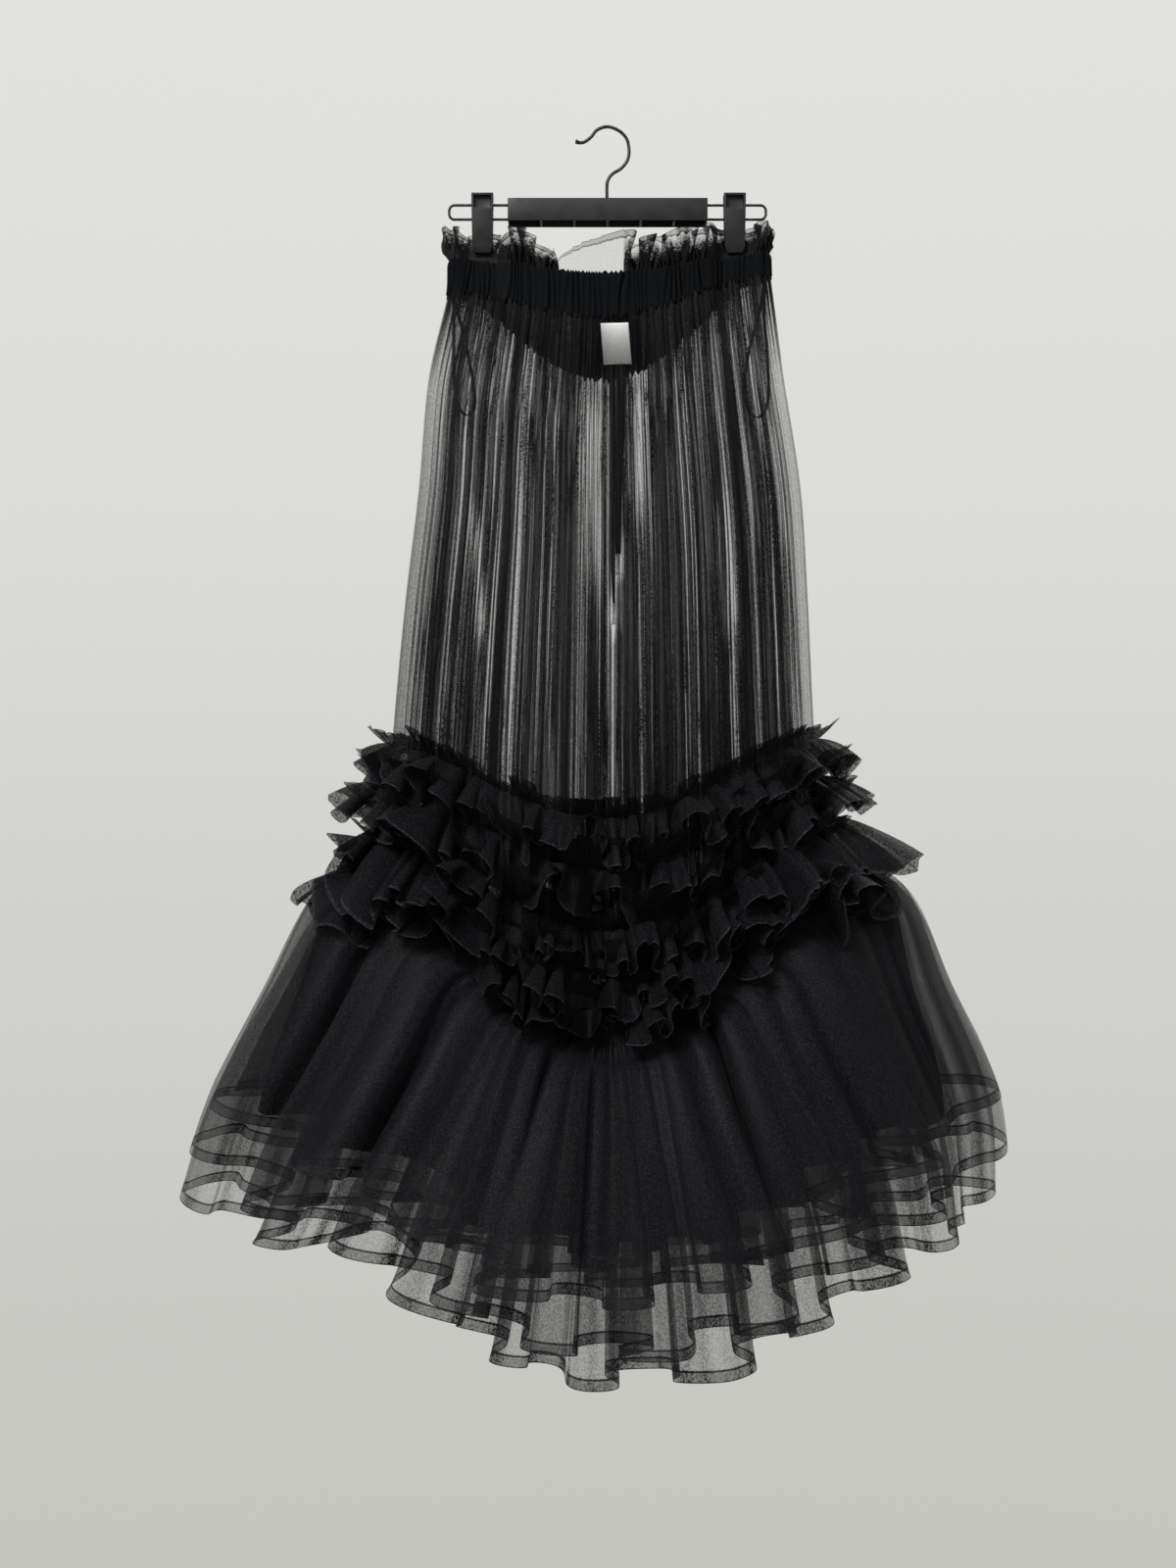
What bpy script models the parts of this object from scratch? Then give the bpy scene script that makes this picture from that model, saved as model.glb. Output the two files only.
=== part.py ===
"""Long sheer skirt with ruffle tiers and a layered flounce, clipped to a trouser hanger.

Metres, +Z up. The origin is the inside top of the hanger's hook, the front faces -Y and +X is to the right.
The skirt is one tall stack of level rings, the stations of SKIRT, and every cloth piece is read from it:
row 0 is the waistband's top edge, row 1 its lower edge, rows 2 to 4 the net, row 5 the top of the ruffles,
row 6 the flounce seam and rows 7 to 10 the flounce down to its longest hem.
"""

import math

import bmesh
import bpy
import numpy as np
from mathutils import Vector

for thing in list(bpy.data.objects):
    bpy.data.objects.remove(thing, do_unlink=True)

# Hanger, 300 mm over its wire loops
BAR_LENGTH = 0.189
BAR_DEPTH = 0.026
BAR_TOP = -0.0695
BAR_BOTTOM = -0.0908
BAR_CELLS = 6
BAR_WALL = 0.002
BAR_POCKET = 0.016
HOOK_WIRE_RADIUS = 0.0016
LOOP_WIRE_RADIUS = 0.0013
LOOP_REACH = 0.1505
LOOP_UPPER = -0.0732
LOOP_LOWER = -0.0867
LOOP_CORNER = 0.005
CLIP_CENTRES = {"left": -0.1188, "right": 0.1207}
CLIP_WIDTH = 0.0205
CLIP_TOP = -0.0628
CLIP_BOTTOM = -0.1195
CLIP_JAW = 0.0055
CLIP_INNER_FACE = 0.0017
CLIP_CORNER = 0.002
CLIP_TOE_RISE = 0.004
CLIP_RIM = 0.0015
CLIP_CROWN = 0.0008

# Cloth
CASING_WALL = 0.0024
CLOTH_WALL = 0.0010
SEAM_GAP = 0.0005
HUNG_GAP = 0.0010
PANEL_SEAM_HALF_GAP = 0.0002
NET_GATHERS = 28
NET_SAMPLES = 4 * NET_GATHERS
WAIST_SAMPLES = 80
FRILL_WAVES = 10
FRILL_HEIGHT = 0.034
FRILL_WAVE = 0.005
FRILL_LEAN = 0.006
FRILL_FOOT = 0.003
FRILL_CLIPPED_DROP = 0.004
FRILL_UNEVEN = 0.002
RUFFLE_WAVES = 18
RUFFLE_SAMPLES = 4 * RUFFLE_WAVES
RUFFLE_SEAT_OFFSET = 0.0018
FLOUNCE_WAVES = 14
FLOUNCE_SAMPLES = 4 * FLOUNCE_WAVES
LAYER_STEP_AT_SEAM = 0.0029
LAYER_STEP_AT_HEM = 0.0052
CLIP_SPAN = 0.0125
CLIP_EASE = 0.0135
PINCHED_HALF_DEPTH = 0.0008

# A ring's round ends need closer samples than its flat sides: samples are even along this ellipse
EVEN_WIDTH = 0.18
EVEN_DEPTH = 0.06

# left, right, front, back: how far the ring reaches from the middle. square: 1 is an ellipse, less is boxier.
# pinch: how flat the clips press it. side_z, front_z, back_z: heights. tilt: extra height at the right side.
# dip: how sharply the middle sags. wave: half height of the gathers or folds.
COLUMNS = (
    "left", "right", "front", "back", "square", "pinch",
    "side_z", "front_z", "back_z", "tilt", "dip", "wave",
)
SKIRT = (
    (0.149, 0.152, 0.022, 0.034, 0.60, 0.88, -0.1225, -0.142, -0.166, 0.003, 4.0, 0.0000),
    (0.151, 0.154, 0.024, 0.036, 0.60, 0.60, -0.1500, -0.185, -0.233, 0.009, 4.0, 0.0010),
    (0.170, 0.166, 0.045, 0.056, 0.85, 0.00, -0.2360, -0.275, -0.305, 0.005, 4.0, 0.0028),
    (0.179, 0.183, 0.068, 0.076, 0.95, 0.00, -0.3430, -0.390, -0.410, 0.000, 4.0, 0.0036),
    (0.192, 0.190, 0.086, 0.092, 1.00, 0.00, -0.4520, -0.510, -0.525, 0.000, 4.0, 0.0036),
    (0.204, 0.196, 0.098, 0.102, 1.00, 0.00, -0.5790, -0.647, -0.662, 0.003, 4.0, 0.0000),
    (0.214, 0.208, 0.105, 0.110, 1.00, 0.00, -0.7200, -0.850, -0.868, 0.002, 4.0, 0.0000),
    (0.264, 0.272, 0.140, 0.146, 1.00, 0.00, -0.7500, -0.882, -0.900, 0.002, 4.0, 0.0050),
    (0.303, 0.312, 0.180, 0.186, 1.00, 0.00, -0.8220, -0.945, -0.962, 0.002, 3.2, 0.0150),
    (0.346, 0.344, 0.212, 0.218, 1.00, 0.00, -0.9200, -1.030, -1.050, 0.002, 2.5, 0.0250),
    (0.372, 0.342, 0.234, 0.240, 1.00, 0.00, -1.0150, -1.128, -1.152, 0.000, 2.0, 0.0320),
)
SEAM_ROW = 6

# seat: row on the skirt where the strip is sewn. side_reach, front_reach: how far it stands out there.
# side_droop, front_droop: how far its free edge hangs below the seat. turn: shift of its waves.
RUFFLES = (
    ("ruffle_1", 5.04, 0.034, 0.034, 0.028, 0.036, 0.0),
    ("ruffle_2", 5.27, 0.046, 0.038, 0.034, 0.038, 0.6),
    ("ruffle_3", 5.50, 0.080, 0.042, 0.048, 0.036, 1.1),
    ("ruffle_4", 5.68, 0.066, 0.048, 0.034, 0.030, 1.7),
    ("ruffle_5", 5.83, 0.044, 0.052, 0.016, 0.020, 2.2),
)
RUFFLE_WAVE = 0.0125

# steps: layers between this one and the innermost. last: last whole row above its hem.
# side_end, front_end, back_end: row where its hem lies.
FLOUNCES = (
    ("flounce_outer", 3, 8, 8.88, 9.10, 9.10),
    ("flounce_middle", 2, 9, 9.40, 9.62, 9.62),
    ("flounce_inner", 1, 9, 10.0, 10.0, 10.0),
    ("flounce_lining", 0, 8, 9.10, 8.85, 8.85),
)

# Label and cords inside the waist
LABEL_WIDTH = 0.027
LABEL_MIDDLE = 0.0085
LABEL_TOP = -0.1780
LABEL_BOTTOM = -0.2180
LABEL_LEAN = 0.003
LABEL_GAP = 0.0004
LABEL_BOW = 0.0006
TAPE_GAP = 0.0010
TAPE_SWAY = 0.0006
TAPE_RADIUS = 0.0026
TIP_RADIUS = 0.0019
TIP_LENGTH = 0.020
TIP_GAP = 0.0003
RIBBON_RADIUS = 0.0015
CORD_Y = 0.0310


def surface(thing, colour, roughness, metallic=0.0):
    """One Principled material for one object."""
    made = bpy.data.materials.new(thing.name)
    made.use_nodes = True
    shader = made.node_tree.nodes["Principled BSDF"]
    shader.inputs["Base Color"].default_value = (*colour, 1.0)
    shader.inputs["Roughness"].default_value = roughness
    shader.inputs["Metallic"].default_value = metallic
    thing.data.materials.append(made)


def add_mesh(name, shape):
    """Turns a bmesh into an object with its faces pointing out."""
    bmesh.ops.recalc_face_normals(shape, faces=shape.faces)
    mesh = bpy.data.meshes.new(name)
    shape.to_mesh(mesh)
    shape.free()
    thing = bpy.data.objects.new(name, mesh)
    bpy.context.collection.objects.link(thing)
    return thing


def even_angles(count):
    """Angles round a ring, from the right side over the back, evenly spaced along the even ellipse."""
    fine = np.linspace(0.0, 2.0 * math.pi, 2001)
    step = np.hypot(EVEN_WIDTH * np.diff(np.cos(fine)), EVEN_DEPTH * np.diff(np.sin(fine)))
    along = np.concatenate(([0.0], np.cumsum(step)))
    return np.interp(np.arange(count) / count * along[-1], along, fine)


def column(name, row):
    """A column of SKIRT at one row or an array of rows, with straight runs between the stations."""
    return np.interp(row, np.arange(len(SKIRT)), [station[COLUMNS.index(name)] for station in SKIRT])


def clip_press(x):
    """1 where a clip's jaws press the ring flat, 0 well clear of them."""
    off = np.minimum(np.abs(x - CLIP_CENTRES["left"]), np.abs(x - CLIP_CENTRES["right"]))
    ease = np.clip((off - CLIP_SPAN) / CLIP_EASE, 0.0, 1.0)
    return 1.0 - ease * ease * (3.0 - 2.0 * ease)


def outward(row, angle):
    """The level direction that points away from the skirt."""
    width = np.where(np.cos(angle) > 0, column("right", row), column("left", row))
    depth = np.where(np.sin(angle) > 0, column("back", row), column("front", row))
    level = np.stack((np.cos(angle) / width, np.sin(angle) / depth, np.zeros_like(angle)), axis=-1)
    return level / np.linalg.norm(level, axis=-1, keepdims=True)


def ring(row, angle, pinch=None):
    """Points of the skirt's smooth body at a row, which may differ from sample to sample."""
    across, away = np.cos(angle), np.sin(angle)
    x = across * np.where(across > 0, column("right", row), column("left", row))
    depth = np.where(away > 0, column("back", row), column("front", row))
    y = np.sign(away) * depth * np.abs(away) ** column("square", row)
    amount = column("pinch", row) if pinch is None else pinch
    press = clip_press(x) * np.minimum(1.0, amount)
    y = y * (1.0 - press) + np.sign(away) * PINCHED_HALF_DEPTH * press
    middle = np.where(away > 0, column("back_z", row), column("front_z", row))
    sag = np.abs(away) ** column("dip", row)
    z = column("side_z", row) * (1.0 - sag) + middle * sag + column("tilt", row) * across
    return np.stack((x, y, z), axis=-1)


def facing(middle):
    """Unit normals of a closed grid of points, rows by samples, pointing out."""
    down = np.gradient(middle, axis=0)
    around = np.roll(middle, -1, axis=1) - np.roll(middle, 1, axis=1)
    normal = np.cross(down, around)
    return normal / np.linalg.norm(normal, axis=2, keepdims=True)


def cloth_sides(middle, wall):
    """Outer and inner points of a wall round a closed grid of middle points, rows by samples."""
    normal = facing(middle)
    return middle + normal * wall / 2, middle - normal * wall / 2


def cloth_solid(name, outer, inner, closed):
    """Joins a wall's two sides along their edges into one closed solid."""
    rows, samples = outer.shape[:2]
    shape = bmesh.new()
    sides = []
    for side in (outer, inner):
        sides.append([[shape.verts.new(point) for point in row] for row in side])
    spans = samples if closed else samples - 1
    for j in range(spans):
        k = (j + 1) % samples
        for side in sides:
            for i in range(rows - 1):
                shape.faces.new((side[i][j], side[i + 1][j], side[i + 1][k], side[i][k]))
        for i in (0, rows - 1):
            shape.faces.new((sides[0][i][j], sides[0][i][k], sides[1][i][k], sides[1][i][j]))
    if not closed:
        for j in (0, samples - 1):
            for i in range(rows - 1):
                shape.faces.new((sides[0][i][j], sides[0][i + 1][j], sides[1][i + 1][j], sides[1][i][j]))
    thing = add_mesh(name, shape)
    thing.data.shade_smooth()
    thing.data.set_sharp_from_angle(angle=math.radians(50))
    return thing


def two_halves(name, middle):
    """A back and a front panel that meet at the side seams, from a closed grid of middle points."""
    sides = cloth_sides(middle, CLOTH_WALL)
    samples = middle.shape[1]
    half = samples // 2
    made = []
    for place, first, shift in (("_back", 0, 1), ("_front", half, -1)):
        picked = [(first + step) % samples for step in range(half + 1)]
        outer, inner = (side[:, picked].copy() for side in sides)
        for side in (outer, inner):
            side[:, (0, -1), 1] += shift * PANEL_SEAM_HALF_GAP
        made.append(cloth_solid(name + place, outer, inner, False))
    return made


def smooth_route(points, spacing):
    """A smooth curve through the points, read at about the spacing."""
    ends = [points[0]] + list(points) + [points[-1]]
    route = [Vector(points[0])]
    for a, b, c, d in zip(ends, ends[1:], ends[2:], ends[3:]):
        a, b, c, d = Vector(a), Vector(b), Vector(c), Vector(d)
        steps = max(1, round((c - b).length / spacing))
        for step in range(1, steps + 1):
            t = step / steps
            bend = (2 * a - 5 * b + 4 * c - d) * t * t + (3 * b - a - 3 * c + d) * t * t * t
            route.append((2 * b + (c - a) * t + bend) / 2)
    return route


def tube(name, route, radius, resolution):
    """A round tube with closed ends along a route."""
    curve = bpy.data.curves.new(name, "CURVE")
    curve.dimensions = "3D"
    curve.bevel_depth = radius
    curve.bevel_resolution = resolution
    curve.use_fill_caps = True
    spline = curve.splines.new("POLY")
    spline.points.add(len(route) - 1)
    for point, place in zip(spline.points, route):
        point.co = (*place, 1.0)
    thing = bpy.data.objects.new(name, curve)
    bpy.context.collection.objects.link(thing)
    return thing


# Hanger bar: a moulded channel, open below, with ribs across it
def hanger_bar():
    shape = bmesh.new()
    xs = [-BAR_LENGTH / 2 + BAR_LENGTH * cell / BAR_CELLS for cell in range(BAR_CELLS + 1)]
    corners = (
        (-BAR_DEPTH / 2, BAR_TOP),
        (-BAR_DEPTH / 2, BAR_BOTTOM),
        (BAR_DEPTH / 2, BAR_BOTTOM),
        (BAR_DEPTH / 2, BAR_TOP),
    )
    loops = [[shape.verts.new((x, y, z)) for y, z in corners] for x in xs]
    undersides = []
    for near, far in zip(loops, loops[1:]):
        for i in range(4):
            j = (i + 1) % 4
            face = shape.faces.new((near[i], near[j], far[j], far[i]))
            if i == 1:
                undersides.append(face)
    shape.faces.new(loops[0])
    shape.faces.new(loops[-1])
    bmesh.ops.recalc_face_normals(shape, faces=shape.faces)
    bmesh.ops.inset_individual(shape, faces=undersides, thickness=BAR_WALL, depth=0.0)
    bmesh.ops.inset_individual(shape, faces=undersides, thickness=BAR_WALL / 2, depth=-BAR_POCKET)
    thing = add_mesh("hanger_bar", shape)
    surface(thing, (0.016, 0.016, 0.017), 0.45)


# Hanger hook: bent wire, its tip turned up at the left, its stem down into the bar
def hanger_hook():
    wire = HOOK_WIRE_RADIUS
    points = (
        (-0.0305, 0.0, -0.0125),
        (-0.0235, 0.0, -0.0135),
        (-0.0160, 0.0, -0.0085),
        (-0.0100, 0.0, -0.0015),
        (0.0000, 0.0, wire),
        (0.0105, 0.0, -0.0020),
        (0.0180, 0.0, -0.0095),
        (0.0205, 0.0, -0.0205),
        (0.0190, 0.0, -0.0300),
        (0.0130, 0.0, -0.0380),
        (0.0050, 0.0, -0.0430),
        (0.0010, 0.0, -0.0480),
        (-0.0005, 0.0, -0.0540),
        (-0.0005, 0.0, BAR_TOP + 0.0003),
    )
    thing = tube("hanger_hook", smooth_route(points, 0.005), wire, 2)
    surface(thing, (0.10, 0.10, 0.11), 0.35, 1.0)


# Wire loops at the bar's ends, on which the clips slide
def hanger_wire(side):
    sign = -1 if side == "left" else 1
    start = sign * (BAR_LENGTH / 2 + 0.0003)
    end = sign * LOOP_REACH
    route = [(start, 0.0, LOOP_UPPER)]
    for top, turn in ((LOOP_UPPER - LOOP_CORNER, 0), (LOOP_LOWER + LOOP_CORNER, 1)):
        for step in range(5):
            angle = math.pi / 2 * (1 - step / 4 - turn)
            x = end - sign * LOOP_CORNER * (1 - math.cos(angle))
            route.append((x, 0.0, top + LOOP_CORNER * math.sin(angle)))
    route.append((start, 0.0, LOOP_LOWER))
    thing = tube("hanger_wire_" + side, route, LOOP_WIRE_RADIUS, 2)
    surface(thing, (0.05, 0.05, 0.055), 0.4, 1.0)


# Clip jaws: moulded plates before and behind the wires, rounded at the lower end
def clip_jaw(side, place):
    sign = -1 if place == "front" else 1
    middle = CLIP_CENTRES[side]
    half = CLIP_WIDTH / 2
    outline = [(-half, CLIP_TOP - CLIP_CORNER), (-half + CLIP_CORNER, CLIP_TOP)]
    outline += [(half - CLIP_CORNER, CLIP_TOP), (half, CLIP_TOP - CLIP_CORNER)]
    for step in range(7):
        angle = math.pi * step / 6
        toe = CLIP_BOTTOM + CLIP_TOE_RISE * (1 - math.sin(angle))
        outline.append((0.95 * half * math.cos(angle), toe))
    shape = bmesh.new()
    inner = [shape.verts.new((middle + x, sign * CLIP_INNER_FACE, z)) for x, z in outline]
    back = shape.faces.new(inner)
    made = bmesh.ops.extrude_face_region(shape, geom=[back])
    raised = [item for item in made["geom"] if isinstance(item, bmesh.types.BMVert)]
    for point in raised:
        point.co.y += sign * CLIP_JAW
    bmesh.ops.recalc_face_normals(shape, faces=shape.faces)
    front = [item for item in made["geom"] if isinstance(item, bmesh.types.BMFace)]
    bmesh.ops.inset_region(shape, faces=front, thickness=CLIP_RIM, depth=CLIP_CROWN)
    thing = add_mesh("clip_" + side + "_" + place, shape)
    surface(thing, (0.018, 0.018, 0.019), 0.5)


# Waist frill: the double net heading that the clips hold
def waist_frill():
    angle = even_angles(WAIST_SAMPLES)
    base = ring(0.0, angle)
    pressed = ring(0.0, angle, 1.0)
    press = clip_press(base[:, 0])
    away = outward(0.0, angle)
    free = (1.0 - press)[:, None]
    turn = FRILL_WAVES * np.arange(WAIST_SAMPLES) / WAIST_SAMPLES * 2.0 * math.pi
    wave = FRILL_WAVE * np.sin(turn)[:, None] * away * free
    lean = FRILL_LEAN * away * free
    rise = np.zeros((WAIST_SAMPLES, 3))
    uneven = FRILL_UNEVEN * np.sin(turn * 0.7) * (1.0 - press)
    rise[:, 2] = FRILL_HEIGHT - FRILL_CLIPPED_DROP * press + uneven
    lift = np.array((0.0, 0.0, SEAM_GAP))
    foot = np.array((0.0, 0.0, FRILL_FOOT))
    rows = (
        pressed + rise + wave + lean,
        pressed + rise * 0.5 + (wave + lean) * 0.5,
        pressed + foot,
        base + lift,
    )
    outer, inner = cloth_sides(np.stack(rows), CLOTH_WALL)
    thing = cloth_solid("waist_frill", outer, inner, True)
    surface(thing, (0.05, 0.05, 0.055), 0.85)


# Waistband: an elastic casing, one ring
def waistband():
    angle = even_angles(WAIST_SAMPLES)
    rows = [ring(row, angle) for row in (0.0, 0.5, 1.0)]
    outer, inner = cloth_sides(np.stack(rows), CASING_WALL)
    thing = cloth_solid("waistband", outer, inner, True)
    surface(thing, (0.010, 0.010, 0.011), 0.9)


# Net panels: front and back, gathered, meeting at the side seams
def net_panels():
    angle = even_angles(NET_SAMPLES)
    gather = np.cos(NET_GATHERS * np.arange(NET_SAMPLES) / NET_SAMPLES * 2.0 * math.pi)
    rows = []
    for row in (1.0, 2.0, 3.0, 4.0, 5.0, 6.0):
        points = ring(row, angle) + outward(row, angle) * (column("wave", row) * gather)[:, None]
        if row == 1.0:
            points[:, 2] -= HUNG_GAP
        rows.append(points)
    for thing in two_halves("net", np.stack(rows)):
        surface(thing, (0.020, 0.019, 0.021), 0.8)


# Ruffle tiers: gathered strips that stand out round the panels
def ruffle(name, seat, side_reach, front_reach, side_droop, front_droop, turn):
    angle = even_angles(RUFFLE_SAMPLES)
    away = outward(seat, angle)
    base = ring(seat, angle) + away * RUFFLE_SEAT_OFFSET
    at_side = np.abs(np.cos(angle)) ** 3
    reach = front_reach + (side_reach - front_reach) * at_side
    droop = front_droop + (side_droop - front_droop) * at_side
    phase = RUFFLE_WAVES * np.arange(RUFFLE_SAMPLES) / RUFFLE_SAMPLES * 2.0 * math.pi + turn
    strength = RUFFLE_WAVE * (1.0 + 0.3 * np.sin(2.3 * angle + turn))
    rows = []
    for part in (0.0, 0.5, 1.0):
        points = base + away * (reach * part + 0.4 * strength * part * np.cos(phase))[:, None]
        points[:, 2] += strength * part * np.sin(phase) - droop * part * part
        rows.append(points)
    outer, inner = cloth_sides(np.stack(rows), CLOTH_WALL)
    thing = cloth_solid(name, outer, inner, True)
    surface(thing, (0.012, 0.012, 0.014), 0.85)


# Flounce layers: cones of tulle with deep folds, nested one in the other
def flounce(name, steps, last, side_end, front_end, back_end):
    angle = even_angles(FLOUNCE_SAMPLES)
    away_share = np.sin(angle) ** 2
    middle_end = np.where(np.sin(angle) > 0, back_end, front_end)
    end = side_end + (middle_end - side_end) * away_share
    fold = np.cos(FLOUNCE_WAVES * np.arange(FLOUNCE_SAMPLES) / FLOUNCE_SAMPLES * 2.0 * math.pi)
    rows = [np.full(FLOUNCE_SAMPLES, float(station)) for station in range(SEAM_ROW, last + 1)] + [end]
    cone = []
    for row in rows:
        cone.append(ring(row, angle) + outward(row, angle) * (column("wave", row) * fold)[:, None])
    cone = np.stack(cone)
    cone[:, :, 2] -= HUNG_GAP
    off = facing(cone)
    off[0] = outward(float(SEAM_ROW), angle)
    spread = (np.stack(rows) - SEAM_ROW) / (len(SKIRT) - 1 - SEAM_ROW)
    step = LAYER_STEP_AT_SEAM + (LAYER_STEP_AT_HEM - LAYER_STEP_AT_SEAM) * spread
    middle = cone + off * (steps * step)[:, :, None]
    if name == "flounce_inner":
        made = two_halves(name, middle)
    else:
        made = [cloth_solid(name, *cloth_sides(middle, CLOTH_WALL), True)]
    for thing in made:
        surface(thing, (0.012, 0.012, 0.014), 0.85)


# Label: a bare strip of tape on the inside of the casing's back
def label():
    rows = []
    for part in (0.0, 0.5, 1.0):
        height = LABEL_TOP + (LABEL_BOTTOM - LABEL_TOP) * part
        row = (height - column("back_z", 0.0)) / (column("back_z", 1.0) - column("back_z", 0.0))
        depth = column("back", row) - CASING_WALL / 2 - LABEL_GAP - CLOTH_WALL / 2
        middle = LABEL_MIDDLE + LABEL_LEAN * (part - 0.5)
        rows.append([(middle + LABEL_WIDTH * (step / 4 - 0.5), depth, height) for step in range(5)])
    face = np.array(rows)
    across = np.array((0.0, CLOTH_WALL / 2, 0.0))
    bowed = face - np.array((0.0, LABEL_BOW, 0.0)) * (np.arange(5) % 4 == 0)[None, :, None]
    thing = cloth_solid("label", bowed - across, bowed + across, False)
    surface(thing, (0.55, 0.55, 0.54), 0.8)


# Drawstrings: the tape's two ends, hanging inside from below the label, each with a metal tip
def drawstring(side, start_x, end_x, tape_end):
    top = LABEL_BOTTOM - TAPE_GAP
    places = []
    for part in (0.0, 0.15, 0.35, 0.6, 0.8, 1.0):
        sway = TAPE_SWAY * math.sin(part * 7.0)
        places.append((start_x + (end_x - start_x) * part + sway, CORD_Y, top + (tape_end - top) * part))
    thing = tube("drawstring_" + side, smooth_route(places, 0.014), TAPE_RADIUS, 2)
    surface(thing, (0.012, 0.012, 0.013), 0.8)
    foot = Vector(places[-1])
    ends = [foot - Vector((0.0, 0.0, TIP_GAP)), foot - Vector((0.0, 0.0, TIP_GAP + TIP_LENGTH))]
    tip = tube("drawstring_tip_" + side, ends, TIP_RADIUS, 3)
    surface(tip, (0.55, 0.55, 0.56), 0.3, 1.0)


# Side loops: thin ribbon, both ends in the casing, hanging inside each side seam
def side_loop(side, points):
    thing = tube("side_loop_" + side, smooth_route(points, 0.007), RIBBON_RADIUS, 1)
    surface(thing, (0.012, 0.012, 0.013), 0.4)


LEFT_LOOP = (
    (-0.1470, -0.0019, -0.1530),
    (-0.1460, -0.0024, -0.1700),
    (-0.1462, -0.0035, -0.2100),
    (-0.1455, -0.0038, -0.2450),
    (-0.1415, -0.0030, -0.2650),
    (-0.1340, 0.0000, -0.2730),
    (-0.1270, 0.0030, -0.2650),
    (-0.1275, 0.0038, -0.2450),
    (-0.1340, 0.0035, -0.2100),
    (-0.1435, 0.0024, -0.1700),
    (-0.1470, 0.0019, -0.1530),
)
RIGHT_LOOP = (
    (0.1498, -0.0019, -0.1360),
    (0.1490, -0.0020, -0.1480),
    (0.1440, -0.0024, -0.1760),
    (0.1340, -0.0035, -0.2130),
    (0.1296, -0.0038, -0.2500),
    (0.1345, -0.0030, -0.2690),
    (0.1420, 0.0000, -0.2750),
    (0.1500, 0.0030, -0.2680),
    (0.1535, 0.0038, -0.2500),
    (0.1520, 0.0035, -0.2130),
    (0.1490, 0.0024, -0.1760),
    (0.1494, 0.0020, -0.1480),
    (0.1498, 0.0019, -0.1360),
)

hanger_bar()
hanger_hook()
for side_name in ("left", "right"):
    hanger_wire(side_name)
    for place_name in ("front", "back"):
        clip_jaw(side_name, place_name)
waist_frill()
waistband()
net_panels()
for tier in RUFFLES:
    ruffle(*tier)
for layer in FLOUNCES:
    flounce(*layer)
label()
drawstring("left", 0.0045, 0.0060, -0.4492)
drawstring("right", 0.0135, 0.0103, -0.4012)
side_loop("left", LEFT_LOOP)
side_loop("right", RIGHT_LOOP)
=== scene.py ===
"""Looks of a long sheer tulle skirt with ruffle tiers and a layered flounce, clipped to a hanger."""

import math

import bpy
import numpy as np
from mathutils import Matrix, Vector


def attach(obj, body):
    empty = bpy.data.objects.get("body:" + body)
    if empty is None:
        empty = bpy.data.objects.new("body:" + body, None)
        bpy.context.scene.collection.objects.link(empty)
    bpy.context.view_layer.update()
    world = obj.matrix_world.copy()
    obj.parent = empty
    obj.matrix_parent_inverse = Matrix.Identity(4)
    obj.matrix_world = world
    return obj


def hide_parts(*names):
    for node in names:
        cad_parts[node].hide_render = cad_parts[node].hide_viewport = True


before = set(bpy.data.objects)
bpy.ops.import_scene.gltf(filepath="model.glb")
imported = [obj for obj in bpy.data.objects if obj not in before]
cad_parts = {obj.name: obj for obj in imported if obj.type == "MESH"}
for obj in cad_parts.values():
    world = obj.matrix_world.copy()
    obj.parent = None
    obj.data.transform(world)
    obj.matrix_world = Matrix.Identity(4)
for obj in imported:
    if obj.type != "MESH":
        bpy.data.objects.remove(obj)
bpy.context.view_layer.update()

# Camera: level, 2 m in front of the hanger and about halfway down the skirt, as the photograph was
# taken. The long side of the frame sees 1.49 m at the hanger's distance.
EYE = (-0.0186, -2.0, -0.6235)
LENS_MM = 48.28
LONG_SIDE_MM = 36.0
SIGHT = 30.0

camera = bpy.data.objects.new("camera", bpy.data.cameras.new("camera"))
bpy.context.collection.objects.link(camera)
camera.location = EYE
camera.rotation_euler = (math.pi / 2, 0.0, 0.0)
camera.data.sensor_fit = "VERTICAL"
camera.data.sensor_height = LONG_SIDE_MM
camera.data.lens = LENS_MM
camera.data.clip_end = SIGHT
bpy.context.scene.camera = camera

# Drawstrings: flat woven tape, 9 mm wide, its two ends hanging free inside the back from below the label,
# each folded into a crimped metal tip. The left one is the longer.
TAPE_WIDTH = 0.0090
TAPE_THICKNESS = 0.0010
TAPE_TOP = -0.2190
TAPE_SWAY = 0.0006
CORD_Y = 0.0310
TIP_LENGTH = 0.020
TIP_RADIUS = 0.0019
TIP_GAP = 0.0003
TIP_CRIMPS = (0.0028, TIP_LENGTH - 0.0030)
TIP_RIMS = (0.0015, TIP_LENGTH - 0.0012)
TIP_PINCH = 0.72
TIP_FLATNESS = 0.8
DRAWSTRINGS = {
    "left": {"start": 0.0045, "end": 0.0060, "foot": -0.4492, "turns": 0.14, "face": 0.28},
    "right": {"start": 0.0135, "end": 0.0103, "foot": -0.4012, "turns": 0.30, "face": 0.02},
}
BLACK_TAPE = (0.006, 0.006, 0.007)


def between(a, b, c, d, t):
    """The point at share t of the way from b to c, on a smooth curve that also passes a and d."""
    bend = (2 * a - 5 * b + 4 * c - d) * t * t + (3 * b - a - 3 * c + d) * t * t * t
    return (2 * b + (c - a) * t + bend) / 2


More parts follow.
